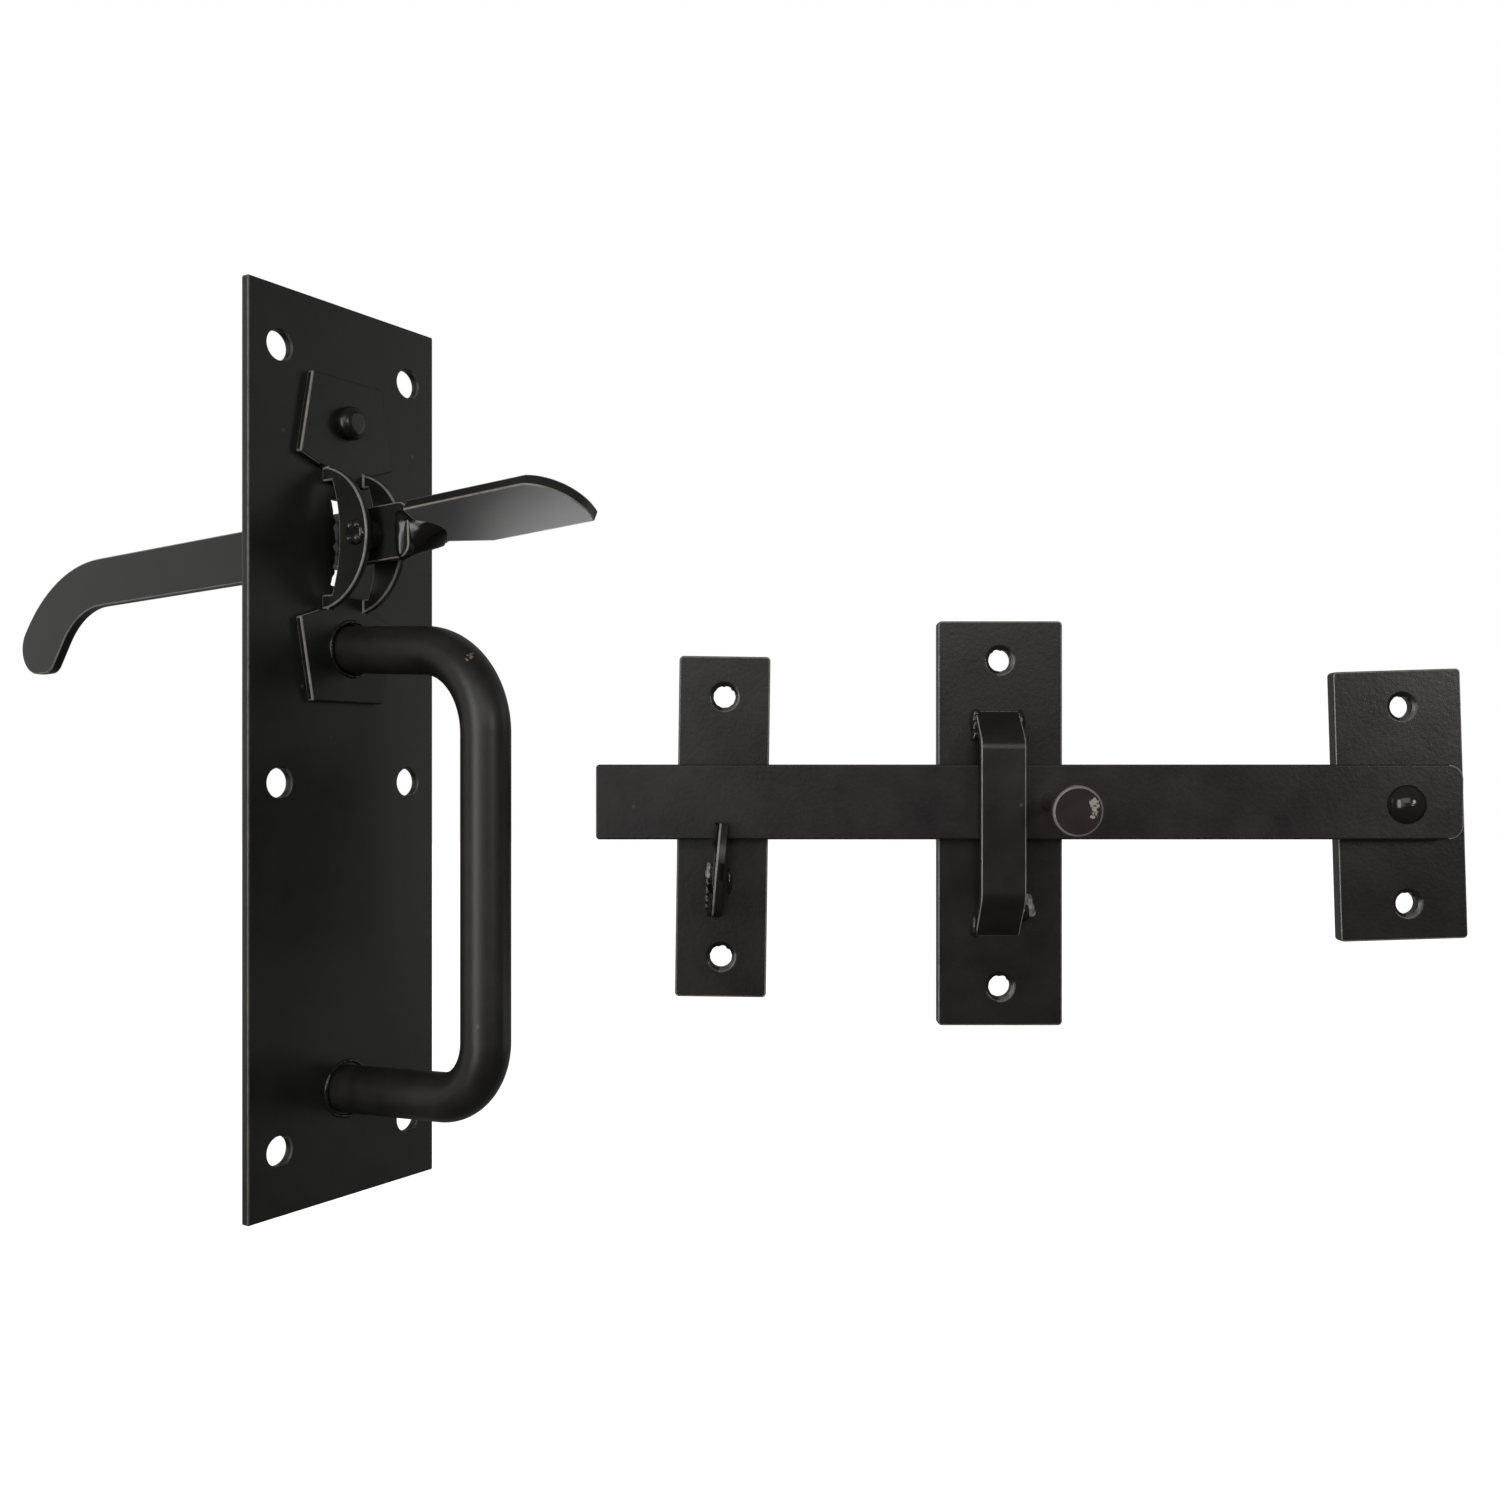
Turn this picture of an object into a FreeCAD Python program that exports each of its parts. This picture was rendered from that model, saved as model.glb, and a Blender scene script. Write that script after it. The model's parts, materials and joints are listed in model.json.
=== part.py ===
import FreeCAD, Part
import math
import os
import re
import Sketcher
from FreeCAD import Placement, Rotation, Vector

# Gate thumb latch: a handle unit with its thumb lever, and the set that it works on the other
# face of the gate: latch bar, pivot plate, guide plate with strap, and keeper plate with hook.
#
# Frame, in millimetres: the origin is the middle of the guide plate's back face. +X runs along
# the latch bar towards its pivot, +Z is up, and -Y points out of the gate. The handle unit has a
# frame of its own, the same way round, turned about Z and set down to the left of the bar set.

os.makedirs("parts", exist_ok=True)

SIZES = {
    # handle unit: where it stands in the common frame
    "unit_x": -175.1,
    "unit_y": -25.2,
    "unit_z": 19.2,
    "unit_turn": 57.3,
    # back plate, with six screw holes in two columns and a slot for the lever
    "back_width": 61.6,
    "back_height": 230.0,
    "back_thick": 2.5,
    "back_hole_dia": 7.4,
    "back_hole_column": 21.4,
    "back_hole_top": 100.1,
    "back_hole_middle": -7.9,
    "back_hole_bottom": -98.8,
    "slot_width": 7.6,
    "slot_above_pin": 10.2,
    "slot_below_pin": 12.0,
    # lever pin and the bracket that carries it
    "pin_height": 54.6,
    "pin_out": 12.4,
    "pin_dia": 5.0,
    "pin_head_dia": 6.4,
    "pin_head_rise": 1.0,
    "pin_head_flat": 3.6,
    "pin_clearance": 0.05,
    "bracket_side": -1.2,
    "bracket_sheet": 2.0,
    "bracket_drop": 0.4,
    "lug_half_width": 15.4,
    "lug_wide_at": 20.6,
    "lug_end_half": 11.6,
    "lug_end_at": 41.5,
    "neck_shoulder_half": 9.3,
    "neck_shoulder_at": 18.4,
    "neck_root_at": 17.9,
    "neck_end_at": 14.4,
    "ear_gap": 10.0,
    "ear_radius": 18.4,
    "ear_front": 16.1,
    "ear_back": 6.3,
    "ear_root": 3.6,
    "spacer_dia": 8.0,
    "spacer_play": 0.1,
    "rivet_height": 84.4,
    "rivet_shank_dia": 5.0,
    "rivet_head_dia": 8.6,
    "rivet_head_rise": 3.4,
    "rivet_head_flat": 4.0,
    "rivet_head_side": 1.2,
    # thumb lever: tongue bar, pad and the weld between them
    "tongue_thick": 3.0,
    "tongue_droop": 1.93,
    "tongue_top": 7.3,
    "tongue_bottom": -6.7,
    "tongue_front": 12.6,
    "tongue_nose_round": 3.5,
    "tongue_bend_y": 138.0,
    "tongue_tip_y": 164.5,
    "tongue_tip_z": -24.6,
    "tongue_heel_y": 140.8,
    "tongue_throat_y": 126.7,
    "tongue_bend_round": 48.0,
    "tongue_tip_round": 8.0,
    "tongue_heel_round": 5.5,
    "tongue_throat_round": 24.0,
    "pad_thick": 3.0,
    "pad_lift": 0.8,
    "pad_rise": 3.0,
    "pad_roll": 30.0,
    "pad_root": 26.2,
    "pad_near": -5.2,
    "pad_far": 11.0,
    "pad_apex": 65.0,
    "pad_end": 75.0,
    "pad_waist": 8.7,
    "pad_waist_at": 30.0,
    "pad_broad_at": 43.0,
    "pad_root_far": 10.0,
    "pad_corner_out": 0.3,
    "pad_near_bulge": 7.1,
    "pad_near_bulge_short": 1.0,
    "pad_weld_radius": 4.7,
    "pad_weld_side": 1.4,
    "pad_weld_drop": 0.6,
    "pad_weld_gap": 1.0,
    # pull handle: round bar bent to a D, on two tenons
    "bar_dia": 12.2,
    "foot_upper": 26.5,
    "foot_lower": -87.1,
    "grip_out": 48.4,
    "grip_upper": 23.9,
    "grip_lower": -84.5,
    "grip_upper_round": 21.0,
    "grip_lower_round": 15.0,
    "tenon_dia": 8.0,
    "tenon_root": 1.0,
    "foot_hole_play": 0.4,
    "foot_weld_rise": 1.1,
    "foot_weld_gap": 0.15,
    "foot_weld_lip": 0.3,
    # bar set: plates and screw holes
    "strip_thick": 4.0,
    "strip_hole_dia": 6.2,
    "strip_sink_dia": 8.6,
    "strip_sink_angle": 120.0,
    "strip_corner": 1.2,
    "strip_edge": 0.6,
    "guide_width": 34.2,
    "guide_height": 111.0,
    "guide_hole_span": 89.6,
    "keeper_x": -76.1,
    "keeper_z": -0.9,
    "keeper_width": 25.0,
    "keeper_height": 93.5,
    "keeper_hole_span": 71.4,
    "keeper_lean": 0.8,
    "pivot_plate_x": 109.9,
    "pivot_plate_z": 5.0,
    "pivot_plate_width": 35.0,
    "pivot_plate_height": 74.1,
    "pivot_hole_span": 54.0,
    "pivot_hole_side": 1.2,
    "pivot_lean": 1.75,
    # latch bar, its pivot rivet and its lift knob
    "latch_gap": 0.5,
    "latch_thick": 5.0,
    "latch_height": 20.3,
    "latch_drop": 9.5,
    "latch_tail": 15.4,
    "latch_reach": 219.5,
    "latch_tail_round": 4.0,
    "latch_nose_round": 1.0,
    "latch_edge": 0.5,
    "pivot_x": 109.2,
    "pivot_z": 5.3,
    "pivot_shank_dia": 6.0,
    "pivot_clearance": 0.06,
    "pivot_head_dia": 10.6,
    "pivot_head_rise": 3.2,
    "pivot_head_gap": 0.2,
    "knob_x": 12.3,
    "knob_z": 6.0,
    "knob_lean_side": 2.9,
    "knob_lean_down": 3.8,
    "knob_stem_dia": 4.6,
    "knob_stem_length": 26.5,
    "knob_head_dia": 13.0,
    "knob_head_thick": 2.8,
    "knob_head_edge": 0.6,
    # guide strap and keeper hook
    "strap_x": -0.75,
    "strap_width": 12.0,
    "strap_thick": 3.4,
    "strap_front": 14.5,
    "strap_top_foot": 30.8,
    "strap_top_bend": 22.5,
    "strap_low_foot": -30.9,
    "strap_low_bend": -20.2,
    "strap_bend_round": 5.0,
    "hook_x": -77.3,
    "hook_thick": 3.7,
    "hook_lean": 5.2,
    "hook_mid_z": -11.0,
    "hook_seat_gap": 0.3,
    "hook_throat": 0.9,
    "hook_tip_above": 4.6,
    "hook_tip_thick": 2.9,
    "hook_belly": 17.2,
    "hook_belly_z": -11.0,
    "hook_heel_out": 8.6,
    "hook_heel_z": -24.9,
    "hook_foot_z": -25.7,
    "weld_leg": 1.7,
    "weld_length": 3.6,
    "weld_inset": 3.0,
    "weld_blob": 3.2,
    "weld_blob_inset": 7.0,
    "hook_weld_leg": 1.1,
    "hook_weld_out": 0.9,
    "hook_weld_drop": 5.0,
}

doc = FreeCAD.newDocument("thumb_latch")
sizes = doc.addObject("Spreadsheet::Sheet", "sizes")
for row, (alias, number) in enumerate(SIZES.items(), start=1):
    sizes.set("A%d" % row, alias)
    sizes.set("B%d" % row, repr(float(number)))
    sizes.setAlias("B%d" % row, alias)
doc.recompute()


# How far in from its corner, as a part of each side, a rounded corner's middle lies.
ROUND_MIDDLE = 0.293

# --- small helpers -------------------------------------------------------------------------

def linked(formula):
    """A formula in the sheet's words, written so that other objects can read it."""
    return re.sub(r"[a-z][a-z_]+", lambda word: "sizes." + word.group(), str(formula))


def value(formula):
    """The number that a formula in the sheet's words gives."""
    return float(sizes.evalExpression(linked(formula)))


def new_body(label, placement=None):
    """A body with its own label, and its place if it has one away from the origin."""
    body = doc.addObject("PartDesign::Body", label)
    body.Label = label
    if placement:
        body.Placement = placement
    return body


def new_sketch(body, role, offset="0"):
    """A sketch on one of the body's own origin planes, moved off it by offset."""
    plane = next(item for item in body.Origin.OriginFeatures if item.Role == role)
    sketch = body.newObject("Sketcher::SketchObject", body.Name + "_sketch")
    sketch.AttachmentSupport = (plane, [""])
    sketch.MapMode = "FlatFace"
    sketch.setExpression("AttachmentOffset.Base.z", linked(offset))
    return sketch


def pin_point(sketch, geometry, point, across, up):
    """Hold one point of a sketch at two formulas from the sketch's origin."""
    for kind, formula in (("DistanceX", across), ("DistanceY", up)):
        index = sketch.addConstraint(Sketcher.Constraint(kind, -1, 1, geometry, point, value(formula)))
        sketch.setExpression("Constraints[%d]" % index, linked(formula))


def draw_outline(sketch, corners):
    """Closed outline through corners (across, up), where (across, up, via) starts an arc by via."""
    points = [Vector(value(corner[0]), value(corner[1]), 0) for corner in corners]
    lines = []
    for index, corner in enumerate(corners):
        start = points[index]
        end = points[(index + 1) % len(points)]
        if len(corner) == 3:
            middle = Vector(value(corner[2][0]), value(corner[2][1]), 0)
            lines.append(sketch.addGeometry(Part.Arc(start, middle, end), False))
        else:
            lines.append(sketch.addGeometry(Part.LineSegment(start, end), False))
    ends = []
    for index, line in enumerate(lines):
        first_is_start = sketch.getPoint(line, 1).distanceToPoint(points[index]) < 1e-6
        ends.append((1, 2) if first_is_start else (2, 1))
    for index, line in enumerate(lines):
        following = (index + 1) % len(lines)
        join = Sketcher.Constraint("Coincident", line, ends[index][1], lines[following], ends[following][0])
        sketch.addConstraint(join)
        pin_point(sketch, line, ends[index][0], corners[index][0], corners[index][1])
        if len(corners[index]) == 3:
            sketch.addConstraint(Sketcher.Constraint("Radius", line, sketch.Geometry[line].Radius))


def rounded(tip, foot, inner, outer):
    """The middle point of a turned head's rounded shoulder, from its flat tip to its foot."""
    along = "(%s) + %s * ((%s) - (%s))" % (tip, ROUND_MIDDLE, foot, tip)
    out = "(%s) + %s * ((%s) - (%s))" % (outer, ROUND_MIDDLE, inner, outer)
    return along, out


def draw_circle(sketch, across, up, diameter):
    """A circle held by its centre and its diameter."""
    centre = Vector(value(across), value(up), 0)
    ring = sketch.addGeometry(Part.Circle(centre, Vector(0, 0, 1), value(diameter) / 2), False)
    pin_point(sketch, ring, 3, across, up)
    index = sketch.addConstraint(Sketcher.Constraint("Diameter", ring, value(diameter)))
    sketch.setExpression("Constraints[%d]" % index, linked(diameter))


def add_pad(body, sketch, length, symmetric=False):
    """Extrude a sketch into solid metal."""
    pad = body.newObject("PartDesign::Pad", body.Name + "_pad")
    pad.Profile = sketch
    pad.SideType = "Symmetric" if symmetric else "One side"
    pad.setExpression("Length", linked(length))
    doc.recompute()
    return pad


def add_cut(body, sketch, length):
    """Cut a sketch through the body, both ways from its plane, and make sure metal is removed."""
    before = body.Shape.Volume
    cut = body.newObject("PartDesign::Pocket", body.Name + "_cut")
    cut.Profile = sketch
    cut.SideType = "Symmetric"
    cut.setExpression("Length", linked(length))
    doc.recompute()
    if body.Shape.Volume >= before - 1e-3:
        raise RuntimeError("a cut in %s removes nothing" % body.Label)
    return cut


def add_sunk_hole(body, sketch):
    """Drill the sketch's circles with the shallow countersink that the screws' heads sit in."""
    before = body.Shape.Volume
    hole = body.newObject("PartDesign::Hole", body.Name + "_hole")
    hole.Profile = sketch
    doc.recompute()
    hole.DepthType = "ThroughAll"
    hole.HoleCutType = "Countersink"
    hole.HoleCutCustomValues = True
    hole.setExpression("Diameter", linked("strip_hole_dia"))
    hole.setExpression("HoleCutDiameter", linked("strip_sink_dia"))
    hole.setExpression("HoleCutCountersinkAngle", linked("strip_sink_angle"))
    doc.recompute()
    if body.Shape.Volume >= before - 1e-3:
        hole.Reversed = True
        doc.recompute()
    if body.Shape.Volume >= before - 1e-3:
        raise RuntimeError("a hole in %s removes nothing" % body.Label)
    return hole


def add_turned(body, sketch, axis):
    """Turn a sketch about one of its own axes: H_Axis or V_Axis."""
    turned = body.newObject("PartDesign::Revolution", body.Name + "_turned")
    turned.Profile = sketch
    turned.ReferenceAxis = (sketch, [axis])
    turned.Angle = 360
    doc.recompute()
    return turned


def add_round(body, radius, wanted):
    """Fillet the edges of the body's tip that wanted(edge) picks."""
    tip = body.Tip
    names = ["Edge%d" % (i + 1) for i, edge in enumerate(tip.Shape.Edges) if wanted(edge)]
    if not names:
        raise RuntimeError("no edge to round in %s" % body.Label)
    fillet = body.newObject("PartDesign::Fillet", body.Name + "_round")
    fillet.Base = (tip, names)
    fillet.setExpression("Radius", linked(radius))
    doc.recompute()
    return fillet


def runs_along(edge, axis):
    """True for a straight edge that lies along axis."""
    if not isinstance(edge.Curve, Part.Line):
        return False
    return abs(edge.Curve.Direction.dot(axis)) > 0.999


def all_at(edge, axis, level):
    """True for an edge whose ends and middle all lie at one level along axis."""
    ends = [vertex.Point.dot(axis) for vertex in edge.Vertexes]
    ends.append(edge.valueAt((edge.FirstParameter + edge.LastParameter) / 2).dot(axis))
    return all(abs(end - level) < 1e-3 for end in ends)


def in_unit(x, y, z, turn=None):
    """A place in the handle unit's frame, as a Placement in the common frame."""
    unit = Placement(
        Vector(value("unit_x"), value("unit_y"), value("unit_z")),
        Rotation(Vector(0, 0, 1), value("unit_turn")),
    )
    return unit.multiply(Placement(Vector(value(x), value(y), value(z)), turn or Rotation()))


ALONG_Y = Vector(0, 1, 0)
ALONG_X = Vector(1, 0, 0)
ALONG_Z = Vector(0, 0, 1)


# --- handle unit ---------------------------------------------------------------------------

def make_back_plate():
    """Long sheet plate with six screw holes, the lever slot, rivet hole and two tenon holes."""
    body = new_body("back_plate", in_unit(0, 0, 0))
    sketch = new_sketch(body, "XZ_Plane")
    draw_outline(sketch, [
        ("-back_width / 2", "-back_height / 2"),
        ("back_width / 2", "-back_height / 2"),
        ("back_width / 2", "back_height / 2"),
        ("-back_width / 2", "back_height / 2"),
    ])
    add_pad(body, sketch, "back_thick")
    holes = new_sketch(body, "XZ_Plane")
    for row in ("back_hole_top", "back_hole_middle", "back_hole_bottom"):
        draw_circle(holes, "-back_hole_column", row, "back_hole_dia")
        draw_circle(holes, "back_hole_column", row, "back_hole_dia")
    draw_circle(holes, "bracket_side", "rivet_height", "rivet_shank_dia")
    draw_circle(holes, "0", "foot_upper", "tenon_dia")
    draw_circle(holes, "0", "foot_lower", "tenon_dia")
    left = "bracket_side - slot_width / 2"
    right = "bracket_side + slot_width / 2"
    draw_outline(holes, [
        (left, "pin_height - slot_below_pin"),
        (right, "pin_height - slot_below_pin"),
        (right, "pin_height + slot_above_pin"),
        (left, "pin_height + slot_above_pin"),
    ])
    add_cut(body, holes, "back_thick * 4")
    return body


def make_lever_bracket():
    """Sheet bracket: two flat lugs joined by two ears, bent out square, that carry the pin."""
    middle = "pin_height - bracket_drop"
    body = new_body("lever_bracket", in_unit("bracket_side", "-back_thick", middle))
    ear_outer = "(ear_gap / 2 + bracket_sheet)"

    def lug(way):
        sketch = new_sketch(body, "XZ_Plane")
        draw_outline(sketch, [
            ("-" + ear_outer, way + "neck_end_at"),
            (ear_outer, way + "neck_end_at"),
            (ear_outer, way + "neck_root_at"),
            ("neck_shoulder_half", way + "neck_shoulder_at"),
            ("lug_half_width", way + "lug_wide_at"),
            ("lug_end_half", way + "lug_end_at"),
            ("-lug_end_half", way + "lug_end_at"),
            ("-lug_half_width", way + "lug_wide_at"),
            ("-neck_shoulder_half", way + "neck_shoulder_at"),
            ("-" + ear_outer, way + "neck_root_at"),
        ])
        add_pad(body, sketch, "bracket_sheet")

    def ear(offset):
        sketch = new_sketch(body, "YZ_Plane", offset)
        centre = value("ear_front - ear_radius")
        root = repr((value("ear_radius") ** 2 - centre ** 2) ** 0.5)
        draw_outline(sketch, [
            ("0", root, ("-ear_front", "0")),
            ("0", "-" + root),
            ("0", "-neck_end_at"),
            ("-ear_root", "-neck_end_at", ("-ear_back", "0")),
            ("-ear_root", "neck_end_at"),
            ("0", "neck_end_at"),
        ])
        add_pad(body, sketch, "bracket_sheet")

    lug("")
    ear("ear_gap / 2")
    lug("-")
    ear("-ear_gap / 2 - bracket_sheet")
    bore = new_sketch(body, "YZ_Plane")
    draw_circle(bore, "-pin_out", "bracket_drop", "pin_dia")
    add_cut(body, bore, "ear_gap * 4")
    feet = new_sketch(body, "XZ_Plane")
    draw_circle(feet, "0", "rivet_height - pin_height + bracket_drop", "rivet_shank_dia")
    draw_circle(feet, "-bracket_side", "foot_upper - pin_height + bracket_drop", "bar_dia + foot_hole_play")
    add_cut(body, feet, "bracket_sheet * 4")
    return body


def make_bracket_rivet():
    """Button-headed rivet that holds the bracket's upper lug, hammered flush at the back."""
    body = new_body("bracket_rivet", in_unit("bracket_side", 0, "rivet_height"))
    sketch = new_sketch(body, "YZ_Plane")
    seat = "-(back_thick + bracket_sheet)"
    crown = seat + " - rivet_head_rise"
    shoulder = seat + " - rivet_head_side"
    draw_outline(sketch, [
        ("0", "0"),
        (crown, "0"),
        (crown, "rivet_head_flat / 2", rounded(crown, shoulder, "rivet_head_flat / 2", "rivet_head_dia / 2")),
        (shoulder, "rivet_head_dia / 2"),
        (seat, "rivet_head_dia / 2"),
        (seat, "rivet_shank_dia / 2"),
        ("0", "rivet_shank_dia / 2"),
    ])
    add_turned(body, sketch, "H_Axis")
    return body


def make_lever_pin():
    """Pin across the two ears, its ends hammered over to low heads."""
    body = new_body("lever_pin", in_unit("bracket_side", "-back_thick - pin_out", "pin_height"))
    sketch = new_sketch(body, "XY_Plane")
    cheek = "(ear_gap / 2 + bracket_sheet)"
    face = cheek + " + pin_head_rise"
    along, out = rounded(face, cheek, "pin_head_flat / 2", "pin_head_dia / 2")
    draw_outline(sketch, [
        ("-(%s)" % face, "0"),
        (face, "0"),
        (face, "pin_head_flat / 2", (along, out)),
        (cheek, "pin_head_dia / 2"),
        (cheek, "pin_dia / 2"),
        ("-" + cheek, "pin_dia / 2"),
        ("-" + cheek, "pin_head_dia / 2", ("-(%s)" % along, out)),
        ("-(%s)" % face, "pin_head_flat / 2"),
    ])
    add_turned(body, sketch, "H_Axis")
    return body


def make_lever_spacers():
    """Two rings on the pin that keep the lever in the middle of the ears."""
    rings = []
    for name, way in (("left_spacer", -1), ("right_spacer", 1)):
        outer = doc.addObject("Part::Cylinder", name + "_outer")
        outer.setExpression("Radius", linked("spacer_dia / 2"))
        outer.setExpression("Height", linked("(ear_gap - tongue_thick) / 2 - 2 * spacer_play"))
        inner = doc.addObject("Part::Cylinder", name + "_bore")
        inner.setExpression("Radius", linked("pin_dia / 2"))
        inner.setExpression("Height", linked("ear_gap"))
        ring = doc.addObject("Part::Cut", name)
        ring.Base = outer
        ring.Tool = inner
        side = "bracket_side + %s" % ("tongue_thick / 2 + spacer_play" if way > 0 else
                                      "spacer_play - ear_gap / 2")
        ring.Placement = in_unit(side, "-back_thick - pin_out", "pin_height", Rotation(ALONG_Y, 90))
        rings.append(ring)
    group = doc.addObject("Part::Compound", "lever_spacers")
    group.Links = rings
    return group


def make_lift_tongue():
    """Flat lever bar: short nose in front of the pin, long tongue with a down-curved end behind."""
    turn = Rotation(ALONG_X, -value("tongue_droop"))
    place = in_unit("bracket_side", "-back_thick - pin_out", "pin_height", turn)
    body = new_body("lift_tongue", place)
    sketch = new_sketch(body, "YZ_Plane")
    draw_outline(sketch, [
        ("-tongue_front", "tongue_bottom"),
        ("tongue_throat_y", "tongue_bottom"),
        ("tongue_heel_y", "tongue_tip_z"),
        ("tongue_tip_y", "tongue_tip_z"),
        ("tongue_bend_y", "tongue_top"),
        ("-tongue_front", "tongue_top"),
    ])
    add_pad(body, sketch, "tongue_thick", symmetric=True)
    for corner, radius in (
        (("tongue_tip_y", "tongue_tip_z"), "tongue_tip_round"),
        (("tongue_bend_y", "tongue_top"), "tongue_bend_round"),
        (("tongue_heel_y", "tongue_tip_z"), "tongue_heel_round"),
        (("tongue_throat_y", "tongue_bottom"), "tongue_throat_round"),
        (("-tongue_front", "tongue_bottom"), "tongue_nose_round"),
        (("-tongue_front", "tongue_top"), "tongue_nose_round"),
    ):
        y = value(corner[0])
        z = value(corner[1])
        add_round(body, radius, lambda edge: runs_along(edge, ALONG_X)
                  and all_at(edge, ALONG_Y, y) and all_at(edge, ALONG_Z, z))
    bore = new_sketch(body, "YZ_Plane")
    draw_circle(bore, "0", "0", "pin_dia + 2 * pin_clearance")
    add_cut(body, bore, "tongue_thick * 2")
    return body


def pad_turn():
    """The pad's attitude: tipped up along the lever, then rolled about it."""
    tip = Rotation(ALONG_X, -value("pad_rise"))
    return tip.multiply(Rotation(ALONG_Y, value("pad_roll")))


def make_thumb_pad():
    """Flat thumb pad, straight on one side, rounded off towards a sharp far corner."""
    place = in_unit("bracket_side", "-back_thick", "pin_height + pad_lift", pad_turn())
    body = new_body("thumb_pad", place)
    sketch = new_sketch(body, "XY_Plane")
    draw_outline(sketch, [
        ("pad_near", "-pad_root"),
        ("pad_near", "-pad_apex", ("pad_near + pad_near_bulge", "pad_near_bulge_short - pad_end")),
        ("pad_far", "-pad_end"),
        ("pad_far + pad_corner_out", "-pad_broad_at"),
        ("pad_waist", "-pad_waist_at"),
        ("pad_root_far", "-pad_root"),
    ])
    add_pad(body, sketch, "pad_thick")
    return body


def make_pull_handle():
    """Round bar bent to a D, its legs closing slightly, on a tenon through the plate at each end."""
    body = new_body("pull_handle", in_unit(0, "-back_thick", 0))
    path = new_sketch(body, "YZ_Plane")
    points = [
        Vector(0, value("foot_upper"), 0),
        Vector(-value("grip_out"), value("grip_upper"), 0),
        Vector(-value("grip_out"), value("grip_lower"), 0),
        Vector(0, value("foot_lower"), 0),
    ]
    runs = [path.addGeometry(Part.LineSegment(points[i], points[i + 1]), False) for i in range(3)]
    for first, second in zip(runs, runs[1:]):
        path.addConstraint(Sketcher.Constraint("Coincident", first, 2, second, 1))
    pin_point(path, runs[0], 1, "0", "foot_upper")
    pin_point(path, runs[0], 2, "-grip_out", "grip_upper")
    pin_point(path, runs[1], 2, "-grip_out", "grip_lower")
    pin_point(path, runs[2], 2, "0", "foot_lower")
    path.fillet(runs[0], runs[1], points[0], points[2], value("grip_upper_round"), True, False)
    path.fillet(runs[1], runs[2], points[1], points[3], value("grip_lower_round"), True, False)
    section = new_sketch(body, "XZ_Plane")
    draw_circle(section, "0", "foot_upper", "bar_dia")
    doc.recompute()
    pipe = body.newObject("PartDesign::AdditivePipe", "pull_handle_pipe")
    pipe.Profile = section
    pipe.Spine = path
    pipe.Transition = "Round corner"
    doc.recompute()
    tenons = new_sketch(body, "XZ_Plane", "-back_thick")
    draw_circle(tenons, "0", "foot_upper", "tenon_dia")
    draw_circle(tenons, "0", "foot_lower", "tenon_dia")
    add_pad(body, tenons, "back_thick + tenon_root")
    return body


def make_foot_welds():
    """A small ring of weld round each foot of the handle."""
    rings = []
    for name, height, seat in (
        ("upper_ring", "foot_upper", "-(back_thick + bracket_sheet)"),
        ("lower_ring", "foot_lower", "-back_thick"),
    ):
        outer = doc.addObject("Part::Cone", name + "_cone")
        outer.setExpression("Radius1", linked("bar_dia / 2 + foot_weld_rise"))
        outer.setExpression("Radius2", linked("bar_dia / 2 + foot_weld_lip"))
        outer.setExpression("Height", linked("foot_weld_rise"))
        inner = doc.addObject("Part::Cylinder", name + "_bar")
        inner.setExpression("Radius", linked("bar_dia / 2 + foot_weld_gap"))
        inner.setExpression("Height", linked("foot_weld_rise"))
        ring = doc.addObject("Part::Cut", name)
        ring.Base = outer
        ring.Tool = inner
        ring.Placement = in_unit(0, seat, height, Rotation(ALONG_X, 90))
        rings.append(ring)
    group = doc.addObject("Part::Compound", "handle_foot_welds")
    group.Links = rings
    return group


# --- bar set -------------------------------------------------------------------------------

def strip_plate(label, width, height, span, hole_side, placement, extra=None):
    """Flat strip plate with soft front edges and a screw hole near each end."""
    body = new_body(label, placement)
    sketch = new_sketch(body, "XZ_Plane")
    draw_outline(sketch, [
        ("-%s / 2" % width, "-%s / 2" % height),
        ("%s / 2" % width, "-%s / 2" % height),
        ("%s / 2" % width, "%s / 2" % height),
        ("-%s / 2" % width, "%s / 2" % height),
    ])
    add_pad(body, sketch, "strip_thick")
    add_round(body, "strip_corner", lambda edge: runs_along(edge, ALONG_Y))
    front = -value("strip_thick")
    add_round(body, "strip_edge", lambda edge: all_at(edge, ALONG_Y, front))
    holes = new_sketch(body, "XZ_Plane", "strip_thick")
    draw_circle(holes, hole_side, "%s / 2" % span, "strip_hole_dia")
    draw_circle(holes, hole_side, "-%s / 2" % span, "strip_hole_dia")
    add_sunk_hole(body, holes)
    if extra:
        through = new_sketch(body, "XZ_Plane")
        draw_circle(through, *extra)
        add_cut(body, through, "strip_thick * 4")
    return body


def leaning(x, y, z, lean):
    """A place in the common frame that leans about Y, clockwise as seen from the front."""
    return Placement(Vector(value(x), value(y), value(z)), Rotation(ALONG_Y, value(lean)))


def make_plates():
    """Guide, keeper and pivot plates: the guide plate is the datum, the other two lean a little."""
    strip_plate("guide_plate", "guide_width", "guide_height", "guide_hole_span", "0",
                leaning("0", "0", "0", "0"))
    strip_plate("keeper_plate", "keeper_width", "keeper_height", "keeper_hole_span", "0",
                leaning("keeper_x", "0", "keeper_z", "keeper_lean"))
    place = leaning("pivot_plate_x", "0", "pivot_plate_z", "-pivot_lean")
    axis = place.inverse().multVec(Vector(value("pivot_x"), 0, value("pivot_z")))
    strip_plate("pivot_plate", "pivot_plate_width", "pivot_plate_height", "pivot_hole_span",
                "pivot_hole_side", place, (repr(axis.x), repr(axis.z), "pivot_shank_dia"))


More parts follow.
